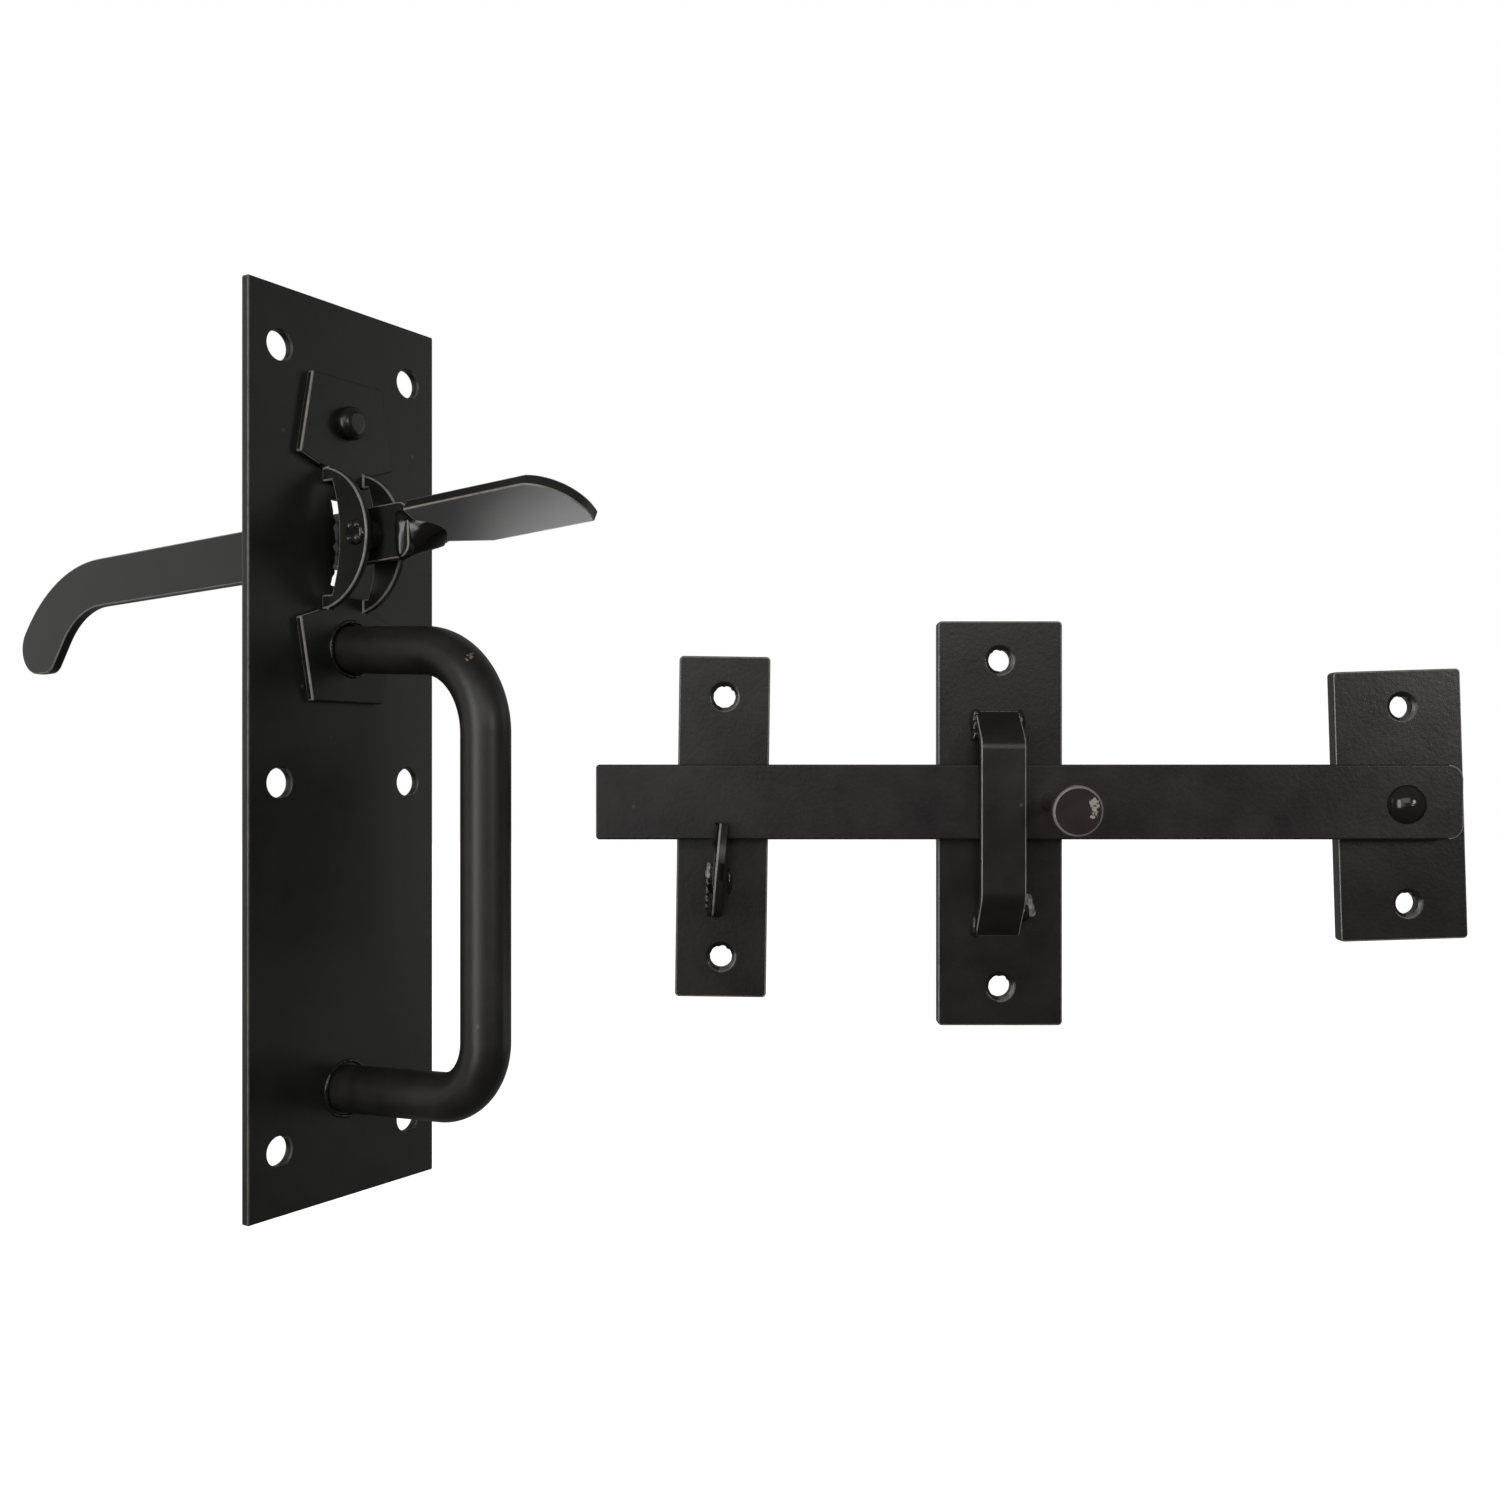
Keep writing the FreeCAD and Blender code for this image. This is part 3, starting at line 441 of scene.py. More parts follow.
def torn_lip(
    place: Matrix, length_mm: float, reach_mm: float, thick_mm: float, steps: int
) -> bmesh.types.BMesh:
    """Make the torn lip of coat and metal that hangs on the edge of a punched slot.

    Args:
        place: Its middle on the slot's edge, with X into the slot and Z along the edge.
        length_mm: The edge's length.
        reach_mm: How far the lip reaches into the slot at most.
        thick_mm: The lip's thickness.
        steps: How finely it is divided along the edge.

    Returns:
        The lip, as a closed shell in the row frame.
    """
    shape = bmesh.new()
    bmesh.ops.create_grid(shape, x_segments=1, y_segments=steps, size=0.5)
    bmesh.ops.rotate(shape, matrix=Matrix.Rotation(math.radians(90), 3, "X"), verts=shape.verts)
    for vert in shape.verts:
        along = vert.co.z
        if vert.co.x > 0:
            fade = max(0.0, 1 - (2 * abs(along)) ** 4)
            torn = 0.72 + 0.16 * math.sin(31 * along) + 0.12 * math.sin(53 * along + 1)
            bmesh.ops.translate(shape, vec=((reach_mm * fade * torn + 0.1) * MM - 0.5, 0, 0), verts=[vert])
        else:
            bmesh.ops.translate(shape, vec=(0.5 - 0.3 * MM, 0, 0), verts=[vert])
    bmesh.ops.scale(shape, vec=(1, 1, length_mm * MM), verts=shape.verts)
    bmesh.ops.solidify(shape, geom=shape.faces[:], thickness=thick_mm * MM)
    bmesh.ops.recalc_face_normals(shape, faces=shape.faces)
    bmesh.ops.transform(shape, matrix=place, verts=shape.verts)
    return shape


def gathered(shapes: Iterable[bmesh.types.BMesh]) -> bmesh.types.BMesh:
    """Put several shapes in one bmesh, and free them.

    Args:
        shapes: The shapes to gather.

    Returns:
        One bmesh that holds them all.
    """
    whole = bmesh.new()
    for shape in shapes:
        mesh = bpy.data.meshes.new("gathering")
        shape.to_mesh(mesh)
        shape.free()
        whole.from_mesh(mesh)
        bpy.data.meshes.remove(mesh)
    return whole


@dataclass(frozen=True)
class SoftBox:
    """A soft box: where it hangs and how large it is in metres, and how bright it looks."""

    name: str
    place: tuple[float, float, float]
    width: float
    height: float
    radiance: float


@dataclass
class Studio:
    """The floor, the lights and the camera round the object. Sizes are in metres."""

    floor_drop: float = 0.42
    floor_size: float = 9.0
    floor_glow: float = 0.97
    paper_level: float = 0.15
    room_low: float = 0.05
    room_high: float = 0.15
    aim: tuple[float, float, float] = (-0.08, 0.0, 0.0)
    boxes: tuple[SoftBox, ...] = (
        SoftBox("left_box", (-1.6, 0.15, 0.2), 1.4, 1.4, 0.64),
        SoftBox("left_front_box", (-1.05, -1.3, 0.1), 0.5, 1.3, 5.0),
        SoftBox("high_front_box", (-0.1, -1.3, 0.5), 1.0, 0.6, 1.7),
        SoftBox("low_front_box", (-0.5, -1.3, -0.05), 0.6, 0.5, 0.9),
        SoftBox("right_front_box", (0.97, -1.3, 0.36), 0.36, 0.36, 9.0),
        SoftBox("right_back_box", (1.6, 0.55, 0.15), 0.5, 1.4, 1.1),
    )
    pad_box: SoftBox = SoftBox("pad_box", (-0.36, 0.24, -0.26), 0.45, 0.45, 6.4)
    pad_pieces: tuple[str, ...] = ("thumb_pad_bar",)
    camera_place: tuple[float, float, float] = (-0.0686, -0.4045, 0.0130)
    camera_lens_mm: float = 35.04
    camera_rise: float = 0.0173

    def build(self) -> None:
        """Set out the whole studio."""
        self.lay_floor()
        self.hang_lights()
        self.set_world()
        self.set_camera()

    def lay_floor(self) -> None:
        """Lay a plain white floor under the object."""
        material = bpy.data.materials.new("white_studio_floor")
        material.use_nodes = True
        shader = material.node_tree.nodes["Principled BSDF"]
        shader.inputs["Base Color"].default_value = linear("#f4f4f2")
        shader.inputs["Roughness"].default_value = 0.9
        shader.inputs["Emission Color"].default_value = linear("#ffffff")
        shader.inputs["Emission Strength"].default_value = self.floor_glow
        shape = bmesh.new()
        bmesh.ops.create_grid(shape, x_segments=2, y_segments=2, size=self.floor_size)
        bmesh.ops.translate(shape, vec=(0, 0, -self.floor_drop), verts=shape.verts)
        mesh = bpy.data.meshes.new("floor")
        shape.to_mesh(mesh)
        shape.free()
        mesh.materials.append(material)
        floor = bpy.data.objects.new("floor", mesh)
        floor.visible_glossy = False
        floor.visible_diffuse = False
        bpy.context.scene.collection.objects.link(floor)

    def hang_lights(self) -> None:
        """Hang soft boxes in front and to the sides, and a reflector under the thumb pad."""
        for box in self.boxes:
            self.hang(box, Vector(self.aim))
        low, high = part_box("thumb_pad")
        # The back plate would shade the pad's underside, so this light reaches the pad alone.
        pad_light = self.hang(self.pad_box, (low + high) / 2)
        lit = bpy.data.collections.new("pad_only")
        for name in self.pad_pieces:
            lit.objects.link(bpy.data.objects[name])
        pad_light.light_linking.receiver_collection = lit
        pad_light.light_linking.blocker_collection = lit

    def hang(self, box: SoftBox, aim: Vector) -> bpy.types.Object:
        """Hang one soft box.

        Args:
            box: The soft box.
            aim: The point it faces.

        Returns:
            The light.
        """
        light = bpy.data.lights.new(box.name, "AREA")
        light.shape = "RECTANGLE"
        light.size = box.width
        light.size_y = box.height
        light.energy = box.radiance * math.pi * box.width * box.height
        stand = bpy.data.objects.new(box.name, light)
        place = Vector(box.place)
        stand.matrix_world = Matrix.LocRotScale(place, (aim - place).to_track_quat("-Z", "Y"), None)
        stand.visible_camera = False
        bpy.context.scene.collection.objects.link(stand)
        return stand

    def set_world(self) -> None:
        """Give the studio white paper behind the object and a dim room in front of it."""
        world = bpy.data.worlds.new("studio_walls")
        bpy.context.scene.world = world
        world.use_nodes = True
        tree = world.node_tree
        tree.nodes.clear()
        way = add_node(tree, "ShaderNodeSeparateXYZ", {},
                       {0: add_node(tree, "ShaderNodeTexCoord").outputs["Generated"]})
        behind = add_node(tree, "ShaderNodeMapRange",
                          {"From Min": 0.30, "From Max": 0.75, "To Min": 0.0, "To Max": self.paper_level},
                          {"Value": way.outputs["Y"]}).outputs["Result"]
        room = add_node(tree, "ShaderNodeMapRange",
                        {"From Min": -0.7, "From Max": 0.7,
                         "To Min": self.room_low, "To Max": self.room_high},
                        {"Value": way.outputs["Z"]}).outputs["Result"]
        level = add_node(tree, "ShaderNodeMath", {"operation": "ADD"}, {0: behind, 1: room}).outputs[0]
        path = add_node(tree, "ShaderNodeLightPath")
        walls = add_node(tree, "ShaderNodeBackground", {"Color": linear("#ffffff")}, {"Strength": level})
        paper = add_node(tree, "ShaderNodeBackground", {"Color": linear("#ffffff"), "Strength": 1.0})
        mixed = add_node(tree, "ShaderNodeMixShader", {},
                         {0: path.outputs["Is Camera Ray"], 1: walls.outputs[0], 2: paper.outputs[0]})
        add_node(tree, "ShaderNodeOutputWorld", {}, {"Surface": mixed.outputs[0]})
        bpy.context.scene.view_settings.view_transform = "Standard"

    def set_camera(self) -> None:
        """Stand the camera in front of the bar set, level, looking straight into the gate."""
        camera = bpy.data.cameras.new("camera")
        camera.lens = self.camera_lens_mm
        camera.shift_y = self.camera_rise
        camera.clip_start = 0.01
        camera.clip_end = 50.0
        stand = bpy.data.objects.new("camera", camera)
        stand.location = self.camera_place
        stand.rotation_euler = (math.radians(90), 0, 0)
        bpy.context.scene.collection.objects.link(stand)
        bpy.context.scene.camera = stand


class EdgeTone(Enum):
    """How bright the painted highlight line on an edge is, as its darkest and lightest grey."""

    DIM_HIGHLIGHT = ("#4a4742", "#625e58")
    THIN = ("#7a766f", "#94908a")
    BRIGHT_HIGHLIGHT = ("#8f8a83", "#aaa59f")


def edge_highlight_coat(coat: PowderCoat, edge: EdgeTone) -> bpy.types.Material:
    """Make the coat for a painted highlight line along an edge.

    Args:
        coat: The coat on the flats.
        edge: How bright the painted line is.
    """
    dark, light = edge.value
    name = "%s_%s_edge" % (coat.name, edge.name.lower())
    return EdgeCoat(name, Gloss.SEMI, dark, light, mottle_mm=4.0).material()


def coats(coat: PowderCoat, edge: EdgeTone = EdgeTone.THIN) -> list[bpy.types.Material]:
    """Make a coat and its painted edge highlight.

    Args:
        coat: The coat on the flats.
        edge: How bright the painted highlight line on the edges is.

    Returns:
        The two materials, flats first.
    """
    return [coat.material(), edge_highlight_coat(coat, edge)]


def flowed(piece: bpy.types.Object, grain_mm: float, passes: int) -> None:
    """Run a piece's lumps together, as weld metal does.

    Args:
        piece: The piece, made of overlapping lumps.
        grain_mm: How fine the skin over the lumps is.
        passes: How often the skin is evened out.
    """
    piece.modifiers.clear()
    skin = piece.modifiers.new("one_skin", "REMESH")
    skin.mode = "VOXEL"
    skin.voxel_size = grain_mm * MM
    skin.use_smooth_shade = True
    evened = piece.modifiers.new("flowed", "SMOOTH")
    evened.factor = 0.6
    evened.iterations = passes


def pin_axes() -> Matrix:
    """Find the lever pin's place and the handle unit's axes from the lever's joint.

    Returns:
        A matrix whose axes are along the pin, into the gate and up, set at the pin's middle.
    """
    hinge = next(joint for joint in frame["joints"] if joint["name"] == "thumb_lever_hinge")
    along = Vector(hinge["axis"]).normalized()
    up = Vector((0, 0, 1))
    place = Matrix((along, up.cross(along), up)).transposed().to_4x4()
    place.translation = Vector(hinge["pos_m"])
    return place


@dataclass
class HandleUnit:
    """Back plate, lever bracket with its rivet and pin, and the pull handle. Sizes in millimetres."""

    sheet_edge: float = 0.45
    edge_highlight_below: float = -0.2
    ear_outside: float = 7.0
    peen_radius: float = 1.25
    peen_across: float = 1.25
    peen_up: float = 1.6
    peen_height: float = 1.5
    ring_bead: float = 0.5
    ring_steps: int = 72
    ring_waves: int = 11
    ring_ripple: float = 0.008
    ring_sink: float = 0.45
    slot_lip_thick: float = 0.6
    slot_lip_steps: int = 46
    slot_edge: float = -3.8
    slot_front: float = 13.0
    slot_middle: float = -0.9
    slot_tall: float = 22.0
    slot_lip_reach: float = 2.0

    def build(self) -> None:
        """Build and dress every piece of the unit."""
        # Satin coat on rolled sheet: an even greenish black, with a dim painted highlight line on its cut edges.
        plate = coats(PowderCoat("powder_coated_sheet", Gloss.SATIN, "#11130b", "#1e2015",
                                 peel_depth_mm=0.007), EdgeTone.DIM_HIGHLIGHT)
        # The same coat on folded sheet, with a fine painted highlight line on its sheared edges.
        bracket = coats(PowderCoat("powder_coated_bent_sheet", Gloss.SATIN, "#12140c", "#1f2116",
                                   peel_depth_mm=0.007), EdgeTone.THIN)
        along = pin_axes().col[0].to_3d()
        for node, coat in (("back_plate", plate), ("lever_bracket", bracket)):
            shape = merged_copy(node)
            ease_edges(shape, self.sheet_edge)
            # Only eased edges facing against the pin's axis keep the painted highlight line, as on a lit side; the
            # rest go back to the plain coat.
            for face in shape.faces:
                if face.normal.dot(along) > self.edge_highlight_below:
                    face.material_index = 0
            finished(node + "_sheet", shape, Body.FIXED, coat, [node])
        self.build_slot_lip(plate)
        self.build_handle()
        self.build_foot_rings()
        self.build_pins()

    def build_slot_lip(self, coat: Sequence[bpy.types.Material]) -> None:
        """Build the torn lip on the near edge of the plate's lever slot. Its ragged edge is the real lip; its
        reach covers the lever's face there, a dark sheet that stands in for the shade in the slot.

        Args:
            coat: The plate's coat.
        """
        edge = Matrix.Translation(Vector((self.slot_edge, self.slot_front, self.slot_middle)) * MM)
        lip = torn_lip(pin_axes() @ edge, self.slot_tall, self.slot_lip_reach,
                       self.slot_lip_thick, self.slot_lip_steps)
        finished("lever_slot_lip", lip, Body.FIXED, coat[:1])

    def build_handle(self) -> None:
        """Build the round bar handle, chipped on its upper bend."""
        low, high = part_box("pull_handle")
        chip = Vector((high.x - 9.5 * MM, low.y + 3.5 * MM, high.z - 9.0 * MM))
        # Warmer satin coat on drawn bar: a soft streak along the bar, and one rusty pink chip.
        coat = PowderCoat("powder_coated_round_bar", Gloss.SATIN, "#191814", "#28261f", wave_mm=30.0,
                          scars=(Scar(in_mm(chip), 2.6, "#8a6c6a", 0.9),))
        finished("pull_handle_bar", merged_copy("pull_handle"), Body.FIXED, [coat.material()],
                 ["pull_handle"])

    def build_foot_rings(self) -> None:
        """Turn a rippled bead of weld round each foot of the handle."""
        # Coat pooled over a bead of weld: a glossy, rippled dark ring.
        weld = WeldCoat("powder_coated_weld", Gloss.WET, "#161614", "#22211e")
        outwards = -pin_axes().col[1].to_3d()
        rings = [self.foot_ring(outwards, top) for top in (True, False)]
        finished("handle_foot_weld_rings", gathered(rings), Body.FIXED, [weld.material()],
                 ["handle_foot_welds"])

    def foot_ring(self, outwards: Vector, top: bool) -> bmesh.types.BMesh:
        """Turn one bead of weld round a foot.

        Args:
            outwards: The way out of the gate.
            top: Whether the foot is the upper one, which stands on the bracket's lug.

        Returns:
            The bead, as a bmesh in the row frame.
        """
        points = [vert.co for vert in frame["nodes"]["handle_foot_welds"].data.vertices]
        middle_z = sum(point.z for point in points) / len(points)
        mine = [point for point in points if (point.z > middle_z) == top]
        seat = min(point.dot(outwards) for point in mine)
        middle = (Vector([min(point[i] for point in mine) for i in range(3)])
                  + Vector([max(point[i] for point in mine) for i in range(3)])) / 2
        middle += outwards * (seat - middle.dot(outwards))
        radius = max((point - middle - outwards * (point - middle).dot(outwards)).length for point in mine)
        shape = bmesh.new()
        bmesh.ops.create_circle(shape, segments=12, radius=self.ring_bead * MM)
        bmesh.ops.rotate(shape, matrix=Matrix.Rotation(math.radians(90), 3, "X"), verts=shape.verts)
        bmesh.ops.translate(shape, vec=(radius - self.ring_sink * self.ring_bead * MM, 0, 0),
                            verts=shape.verts)
        bmesh.ops.spin(shape, geom=shape.edges[:], cent=(0, 0, 0), axis=(0, 0, 1),
                       angle=math.radians(360), steps=self.ring_steps, use_merge=True)
        for vert in shape.verts:
            turn = math.atan2(vert.co.y, vert.co.x)
            waves = math.sin(self.ring_waves * turn) + math.sin(5 * turn + 1)
            swell = 1 + self.ring_ripple * waves
            bmesh.ops.scale(shape, vec=(swell, swell, 1.0), verts=[vert])
        bmesh.ops.recalc_face_normals(shape, faces=shape.faces)
        stand = outwards.to_track_quat("Z", "Y").to_matrix().to_4x4()
        stand.translation = middle
        bmesh.ops.transform(shape, matrix=stand, verts=shape.verts)
        return shape

    def build_pins(self) -> None:
        """Build the lever pin with its hammered ends, its spacers and the bracket's rivet."""
        # Glossy coat over hammered steel: small broken glints.
        hammered = HammeredCoat("powder_coated_hammered_pin", Gloss.WET, "#161614", "#21201d")
        pin = [hammered.material()]
        for node in ("lever_pin", "lever_spacers"):
            finished(node + "_steel", merged_copy(node), Body.FIXED, pin, [node])
        # Clean coat on a pressed rivet: one smooth highlight on the button.
        button = PowderCoat("powder_coated_button_rivet", Gloss.SEMI, "#141411", "#1e1e1a",
                            nib_every_mm=60.0)
        finished("bracket_rivet_button", merged_copy("bracket_rivet"), Body.FIXED, [button.material()],
                 ["bracket_rivet"], crease_deg=24.0)
        # Coat rubbed thin on the peened lumps: a little paler than the ears round them.
        peened = [EdgeCoat("rubbed_peened_end", Gloss.WET, "#201f1c", "#35332f", mottle_mm=2.0).material()]
        axes = pin_axes()
        for side, name in ((-1, "pin_peen_left"), (1, "pin_peen_right")):
            lumps = []
            for inwards, up, size in ((-1, -1, 1.0), (-1, 1, 0.9), (1, -1, 0.85), (1, 1, 1.05)):
                spot = axes.copy()
                offset = Vector((side * (self.ear_outside + 0.3), inwards * self.peen_across,
                                 up * self.peen_up))
                spot.translation = axes @ (offset * MM)
                radius = self.peen_radius * size
                lumps.append(lump(Vector((self.peen_height, radius, radius * 1.15)), spot))
            finished(name, gathered(lumps), Body.FIXED, peened)


@dataclass
class ThumbLever:
    """The flat lever bar with its rolled thumb pad and their weld. Sizes in millimetres."""

    bar_edge: float = 0.35
    neck_grain: float = 0.45
    neck_passes: int = 40
    neck_uneven: float = 0.04
    # Each row of weld: start and end in the pin's axes, radius, number of lumps and taper.
    neck_rows: tuple[
        tuple[tuple[float, float, float], tuple[float, float, float], float, int, float], ...
    ] = (
        ((0.0, -9.0, 4.0), (0.0, -9.6, -4.6), 2.3, 9, 0.0),
        ((0.0, -9.6, -4.6), (8.0, -15.2, -2.2), 1.9, 12, 0.5),
        ((-0.4, -11.0, 4.2), (-1.8, -15.5, 5.2), 1.6, 8, 0.4),
        ((0.2, -10.5, 2.5), (1.2, -18.6, 2.9), 1.9, 12, 0.6),
        ((0.3, -10.8, 1.2), (2.8, -19.8, 1.7), 1.9, 13, 0.6),
        ((0.4, -11.0, 0.0), (4.2, -20.5, 0.7), 1.9, 14, 0.6),
        ((0.5, -11.0, -1.3), (5.8, -19.8, 0.0), 1.9, 14, 0.6),
        ((0.6, -11.0, -2.5), (7.0, -18.2, -0.8), 1.9, 13, 0.6),
        ((0.4, -10.4, -3.6), (7.6, -16.6, -1.5), 1.9, 12, 0.6),
    )

    def build(self) -> None:
        """Build and dress every piece of the lever."""
        # Satin coat on flat bar: a neutral black that turns mid grey where it faces a light.
        coat = coats(PowderCoat("powder_coated_lever", Gloss.SATIN, "#171715", "#22211f",
                                peel_depth_mm=0.006), EdgeTone.THIN)
        # Their eased edges carry a painted highlight line.
        for node in ("lift_tongue", "thumb_pad"):
            shape = merged_copy(node)
            ease_edges(shape, self.bar_edge)
            finished(node + "_bar", shape, Body.LEVER, coat, [node])
        # Thick wet-looking coat on the neck of weld: the darkest piece, with long glints.
        weld = WeldCoat("powder_coated_pad_weld", Gloss.WET, "#10100e", "#191816", ripple_mm=3.2,
                        ripple_depth_mm=0.10)
        neck = finished("pad_weld_metal", self.neck(), Body.LEVER, [weld.material()],
                        ["pad_weld"])
        flowed(neck, self.neck_grain, self.neck_passes)

    def neck(self) -> bmesh.types.BMesh:
        """Lay rows of weld over the bar's nose, across the pad's root and out along its middle.

        Returns:
            The rows, as a bmesh in the row frame.
        """
        lumps = []
        for number, (start, end, radius, count, taper) in enumerate(self.neck_rows):
            lumps += bead(Vector(start) * MM, Vector(end) * MM, radius, count, number,
                          self.neck_uneven, taper)
        shape = gathered(lumps)
        bmesh.ops.transform(shape, matrix=pin_axes(), verts=shape.verts)
        return shape


@dataclass
class StripPlate:
    """One flat strip plate with two screw holes. Sizes in millimetres."""

    node: str
    mount: str
    span: float
    lean_deg: float
    seed: int
    thick: float = 4.0
    hole_radius: float = 3.1
    burr_steps: int = 44
    burr_reach: float = 0.42
    burr_thick: float = 0.7
    burr_depth: float = 1.3
    burr_bite: float = 0.08

    def build(self, coat: Sequence[bpy.types.Material]) -> None:
        """Build the plate, with painted highlight lines on its edge rounds and round the lower right of its holes,
        and the burrs in its holes.

        Args:
            coat: The coat, its painted edge highlight and a dimmer painted highlight for the holes.
        """
        ahead = Vector((0, -1, 0))
        shape = merged_copy(self.node)
        highlight_on_rounds(shape, ahead)
        mount = next(entry for entry in frame["record"]["mounts"] if entry["name"] == self.mount)
        middle = Vector(mount["pos_m"])
        lean = math.radians(self.lean_deg)
        up = Vector((math.sin(lean), 0, math.cos(lean)))
        holes = [middle + up * (way * self.span / 2 * MM) for way in (-1, 1)]
        # Round each hole, the rim's rounds keep a dim painted highlight only towards the lower right; elsewhere
        # they go back to the plain coat.
        for face in shape.faces:
            for hole in holes:
                away = face.calc_center_median() - hole
                away.y = 0
                if away.length < 2 * self.hole_radius * MM and face.material_index:
                    face.material_index = 2 if away.x - away.z > self.hole_radius * MM else 0
        finished(self.node + "_strip", shape, Body.FIXED, coat, [self.node])
        burrs = [self.burr(hole, self.seed + turn) for turn, hole in enumerate(holes)]
        finished(self.node + "_hole_burrs", gathered(burrs), Body.FIXED, coat)

    def burr(self, middle: Vector, seed: int) -> bmesh.types.BMesh:
        """Make the ragged lip of coat and metal that is left inside a punched hole.

        Args:
            middle: The hole's middle on the plate's back face.
            seed: Which way the lip is torn.

        Returns:
            The lip, as a closed ring in the row frame.
        """
        shape = bmesh.new()
        bmesh.ops.create_circle(shape, segments=self.burr_steps,
                                radius=(self.hole_radius + self.burr_bite) * MM)
        bmesh.ops.rotate(shape, matrix=Matrix.Rotation(math.radians(90), 3, "X"), verts=shape.verts)
        outer = shape.edges[:]
        inner = [item for item in bmesh.ops.extrude_edge_only(shape, edges=outer)["geom"]
                 if isinstance(item, bmesh.types.BMVert)]
        for vert in inner:
            turn = math.atan2(vert.co.z, vert.co.x)
            tooth = max(0.0, math.sin(7 * turn + seed)) * max(0.0, math.sin(turn + 0.25)) ** 2
            ragged = 0.10 + 0.05 * math.sin(11 * turn + 2 * seed) + self.burr_reach * tooth
            shrink = (self.hole_radius - ragged) / (self.hole_radius + self.burr_bite)
            bmesh.ops.scale(shape, vec=(shrink, 1, shrink), verts=[vert])
        bmesh.ops.solidify(shape, geom=shape.faces[:], thickness=self.burr_thick * MM)
        bmesh.ops.recalc_face_normals(shape, faces=shape.faces)
        bmesh.ops.translate(shape, vec=middle + Vector((0, -(self.thick - self.burr_depth) * MM, 0)),
                            verts=shape.verts)
        return shape


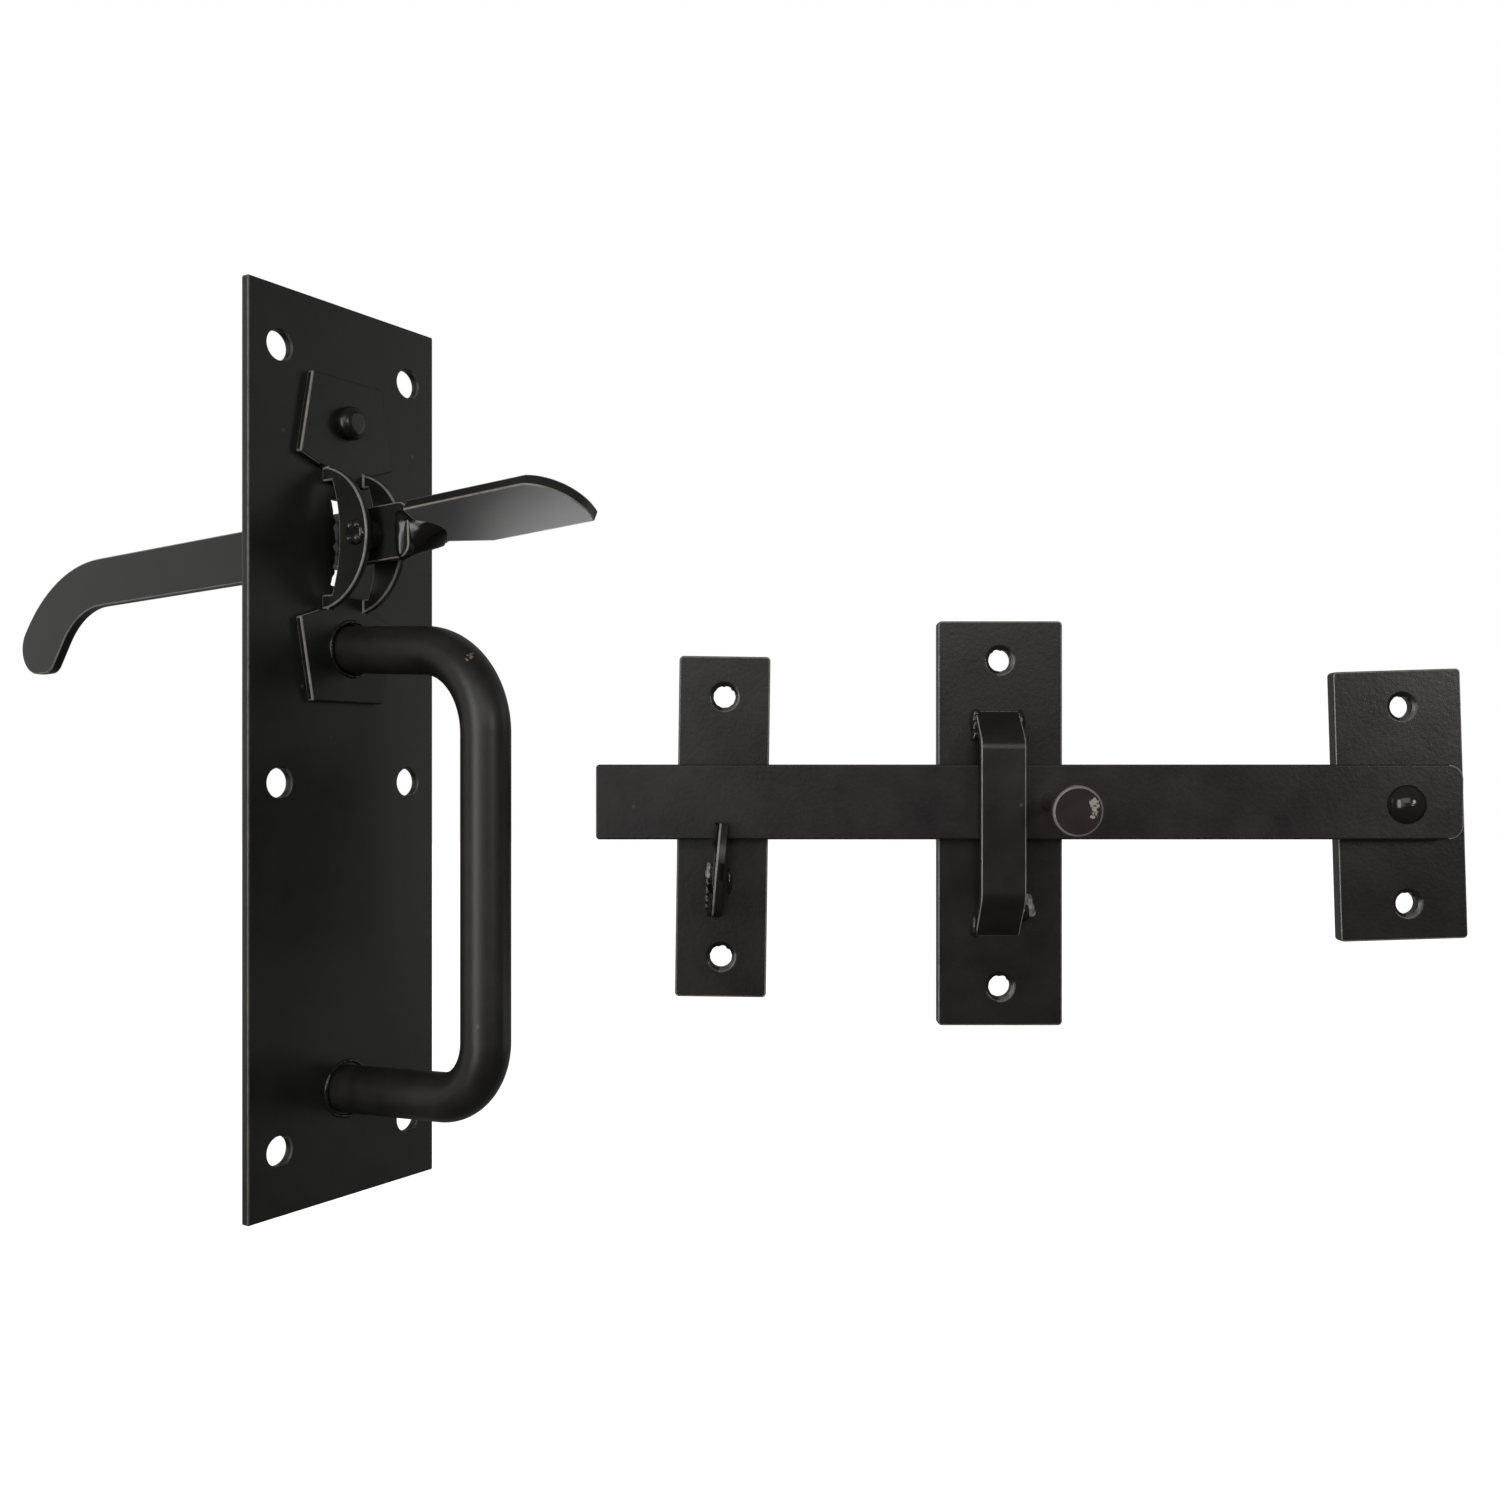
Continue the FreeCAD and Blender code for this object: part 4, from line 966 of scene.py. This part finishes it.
@dataclass
class BarSet:
    """The latch bar, its knob and rivet, the guide, the keeper and their plates. In millimetres."""

    bar_edge: float = 0.3
    bead_grain: float = 0.25
    # Each row of beads or spatter: start and end in the frame, radius, number of lumps and seed.
    beads: tuple[tuple[tuple[float, float, float], tuple[float, float, float], float, int, int], ...] = (
        ((-7.0, -4.5, 30.0), (-7.1, -6.0, 23.5), 0.9, 8, 1),
        ((5.4, -4.5, 30.0), (5.5, -5.6, 24.0), 0.5, 14, 4),
        ((-79.9, -14.2, -13.5), (-80.3, -13.8, -22.0), 0.6, 12, 7),
    )
    spatter: tuple[tuple[tuple[float, float, float], tuple[float, float, float], float, int, int], ...] = (
        ((7.2, -4.8, -20.4), (8.3, -4.5, -24.4), 1.35, 6, 2),
        ((-79.4, -14.8, -10.6), (-79.9, -14.6, -13.4), 0.7, 5, 5),
    )
    knob_radius: float = 6.3
    knob_scars: tuple[tuple[float, float, float], ...] = ((3.5, 0, 2.4), (4.2, 0, 0.6), (3.7, 0, -1.4))
    hook_slant: float = 2.3
    bar_highlight_from: float = 100.0
    knob_lean_side_deg: float = 2.9
    knob_lean_down_deg: float = 3.8

    def build(self) -> None:
        """Build and dress every piece of the set."""
        # Semi-gloss coat on hot-rolled strip: a brownish black with a fine orange peel.
        flat = PowderCoat("powder_coated_strip", Gloss.SEMI, "#1b1715", "#26211e", peel_depth_mm=0.03)
        # Painted highlight lines for the plates' edges, and a dimmer painted highlight for their holes' rims.
        strip = coats(flat, EdgeTone.THIN) + [edge_highlight_coat(flat, EdgeTone.DIM_HIGHLIGHT)]
        # The same on the bent strap and the hook, with a bright painted highlight line along the corners.
        strap_coat = coats(PowderCoat("powder_coated_bent_strip", Gloss.SEMI, "#1e1917", "#2a2421",
                                      peel_depth_mm=0.02), EdgeTone.BRIGHT_HIGHLIGHT)
        plates = (
            StripPlate("guide_plate", "guide_plate_screws", span=89.6, lean_deg=0.0, seed=3),
            StripPlate("keeper_plate", "keeper_plate_screws", span=71.4, lean_deg=0.8, seed=8),
            StripPlate("pivot_plate", "pivot_plate_screws", span=54.0, lean_deg=-1.75, seed=15),
        )
        for plate in plates:
            plate.build(strip)
        # Darker, glossier coat on the hook's slanted side: the gloss is the coat's own, the darker colour is
        # painted shade. darker and glossier than the rest of it.
        painted_shade = [WeldCoat("painted_shade_coat_on_hook", Gloss.WET, "#100e0d", "#191615",
                           ripple_depth_mm=0.05).material()]
        strap, hook = merged_copy("guide_strap"), merged_copy("keeper_hook")
        ease_edges(strap, self.bar_edge, sharper_deg=25.0)
        self.slant_side(hook)
        for node, shape in (("guide_strap", strap), ("keeper_hook", hook)):
            finished(node + "_strip", shape, Body.FIXED, strap_coat + painted_shade, [node])
        self.build_arm()
        self.build_welds()
        # Glassy coat on the dome: small sharp highlights.
        dome = PowderCoat("powder_coated_dome", Gloss.GLASSY, "#1a1715", "#25201d", nib_every_mm=60.0)
        finished("pivot_rivet_dome", merged_copy("pivot_rivet"), Body.FIXED, [dome.material()],
                 ["pivot_rivet"])

    def slant_side(self, shape: bmesh.types.BMesh) -> None:
        """Slant the side of the hook that its shears left on the keeper's outer side, paint shade on the slant and
        a highlight line along its ridge.

        Args:
            shape: The hook's mesh.
        """
        corners = []
        for edge in shape.edges:
            if edge.is_manifold:
                one, other = sorted((face.normal for face in edge.link_faces), key=lambda normal: normal.x)
                if one.x < -0.7 and other.y < -0.25 and abs(other.x) < 0.5:
                    corners.append(edge)
        slanted = bmesh.ops.bevel(shape, geom=corners, offset=self.hook_slant * MM, offset_type="OFFSET",
                                  segments=1, profile=0.5, affect="EDGES", material=-1, clamp_overlap=True)
        # The slanted faces take the painted shade.
        for face in slanted["faces"]:
            face.material_index = 2
        ridge = {edge for face in slanted["faces"] for edge in face.edges
                 if any(beside.normal.y < -0.25 and abs(beside.normal.x) < 0.3 for beside in edge.link_faces)}
        ridge_highlight = bmesh.ops.bevel(shape, geom=list(ridge), offset=self.bar_edge * MM, offset_type="OFFSET",
                               segments=1, profile=0.5, affect="EDGES", material=-1, clamp_overlap=True)
        # The ridge's faces take the painted highlight line.
        for face in ridge_highlight["faces"]:
            face.material_index = 1

    def build_arm(self) -> None:
        """Build the latch bar and its knob, with the knob's face scarred near its rim."""
        # Semi-gloss coat with a faint red cast and more orange peel than the plates.
        bar = coats(PowderCoat("powder_coated_latch_bar", Gloss.SEMI, "#21181a", "#2d2323",
                               peel_depth_mm=0.03), EdgeTone.BRIGHT_HIGHLIGHT)
        shape = merged_copy("latch_bar")
        # A painted highlight line on the rounds of the bar's right end only.
        highlight_on_rounds(shape, Vector((0, -1, 0)), self.bar_highlight_from * MM)
        finished("latch_bar_steel", shape, Body.ARM, bar, ["latch_bar"])
        low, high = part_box("lift_knob")
        head = Vector((high.x - self.knob_radius * MM, low.y, (low.z + high.z) / 2))
        # Warm grey coat on the turned head, scraped pale near its rim.
        knob = coats(PowderCoat("powder_coated_knob", Gloss.SEMI, "#261f1e", "#332a28",
                                scars=tuple(Scar(in_mm(head + Vector(spot) * MM), 1.6, "#a8a39c", 0.85)
                                            for spot in self.knob_scars)), EdgeTone.THIN)
        side, down = math.radians(self.knob_lean_side_deg), math.radians(self.knob_lean_down_deg)
        ahead = Vector((math.sin(side), -1, -math.sin(down))).normalized()
        shape = merged_copy("lift_knob")
        # A painted highlight ring on the rounds round the head's face.
        highlight_on_rounds(shape, ahead)
        finished("lift_knob_stud", shape, Body.ARM, knob, ["lift_knob"])

    def build_welds(self) -> None:
        """Build the beads of weld beside the strap's feet and the hook."""
        # Glossy rippled coat on the small welds.
        weld = [WeldCoat("powder_coated_bead", Gloss.WET, "#1d1a18", "#2a2522").material()]
        for node in ("guide_welds", "keeper_welds"):
            finished(node + "_metal", merged_copy(node), Body.FIXED, weld, [node])
        beads, spatter = (
            [drop for start, end, radius, count, seed in rows
             for drop in bead(Vector(start) * MM, Vector(end) * MM, radius, count, seed)]
            for rows in (self.beads, self.spatter)
        )
        rows = finished("guide_and_hook_beads", gathered(beads), Body.FIXED, weld)
        flowed(rows, self.bead_grain, 4)
        # Pale, patchy coat on the spatter lumps: painted glints on the welds.
        painted_glint = EdgeCoat("painted_glint_weld_spatter", Gloss.WET, "#6a6762", "#b8b5b0", mottle_mm=1.6)
        blob = finished("guide_and_hook_spatter", gathered(spatter), Body.FIXED, [painted_glint.material()])
        flowed(blob, self.bead_grain, 3)


def main() -> None:
    """Build the object's sub-assemblies in order, then the studio."""
    logging.basicConfig(level=logging.INFO, format="%(name)s: %(message)s")
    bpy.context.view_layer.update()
    for part in (HandleUnit(), ThumbLever(), BarSet(), Studio()):
        LOG.info("building %s", type(part).__name__)
        part.build()
    bpy.context.view_layer.update()


if __name__ == "__main__":
    main()
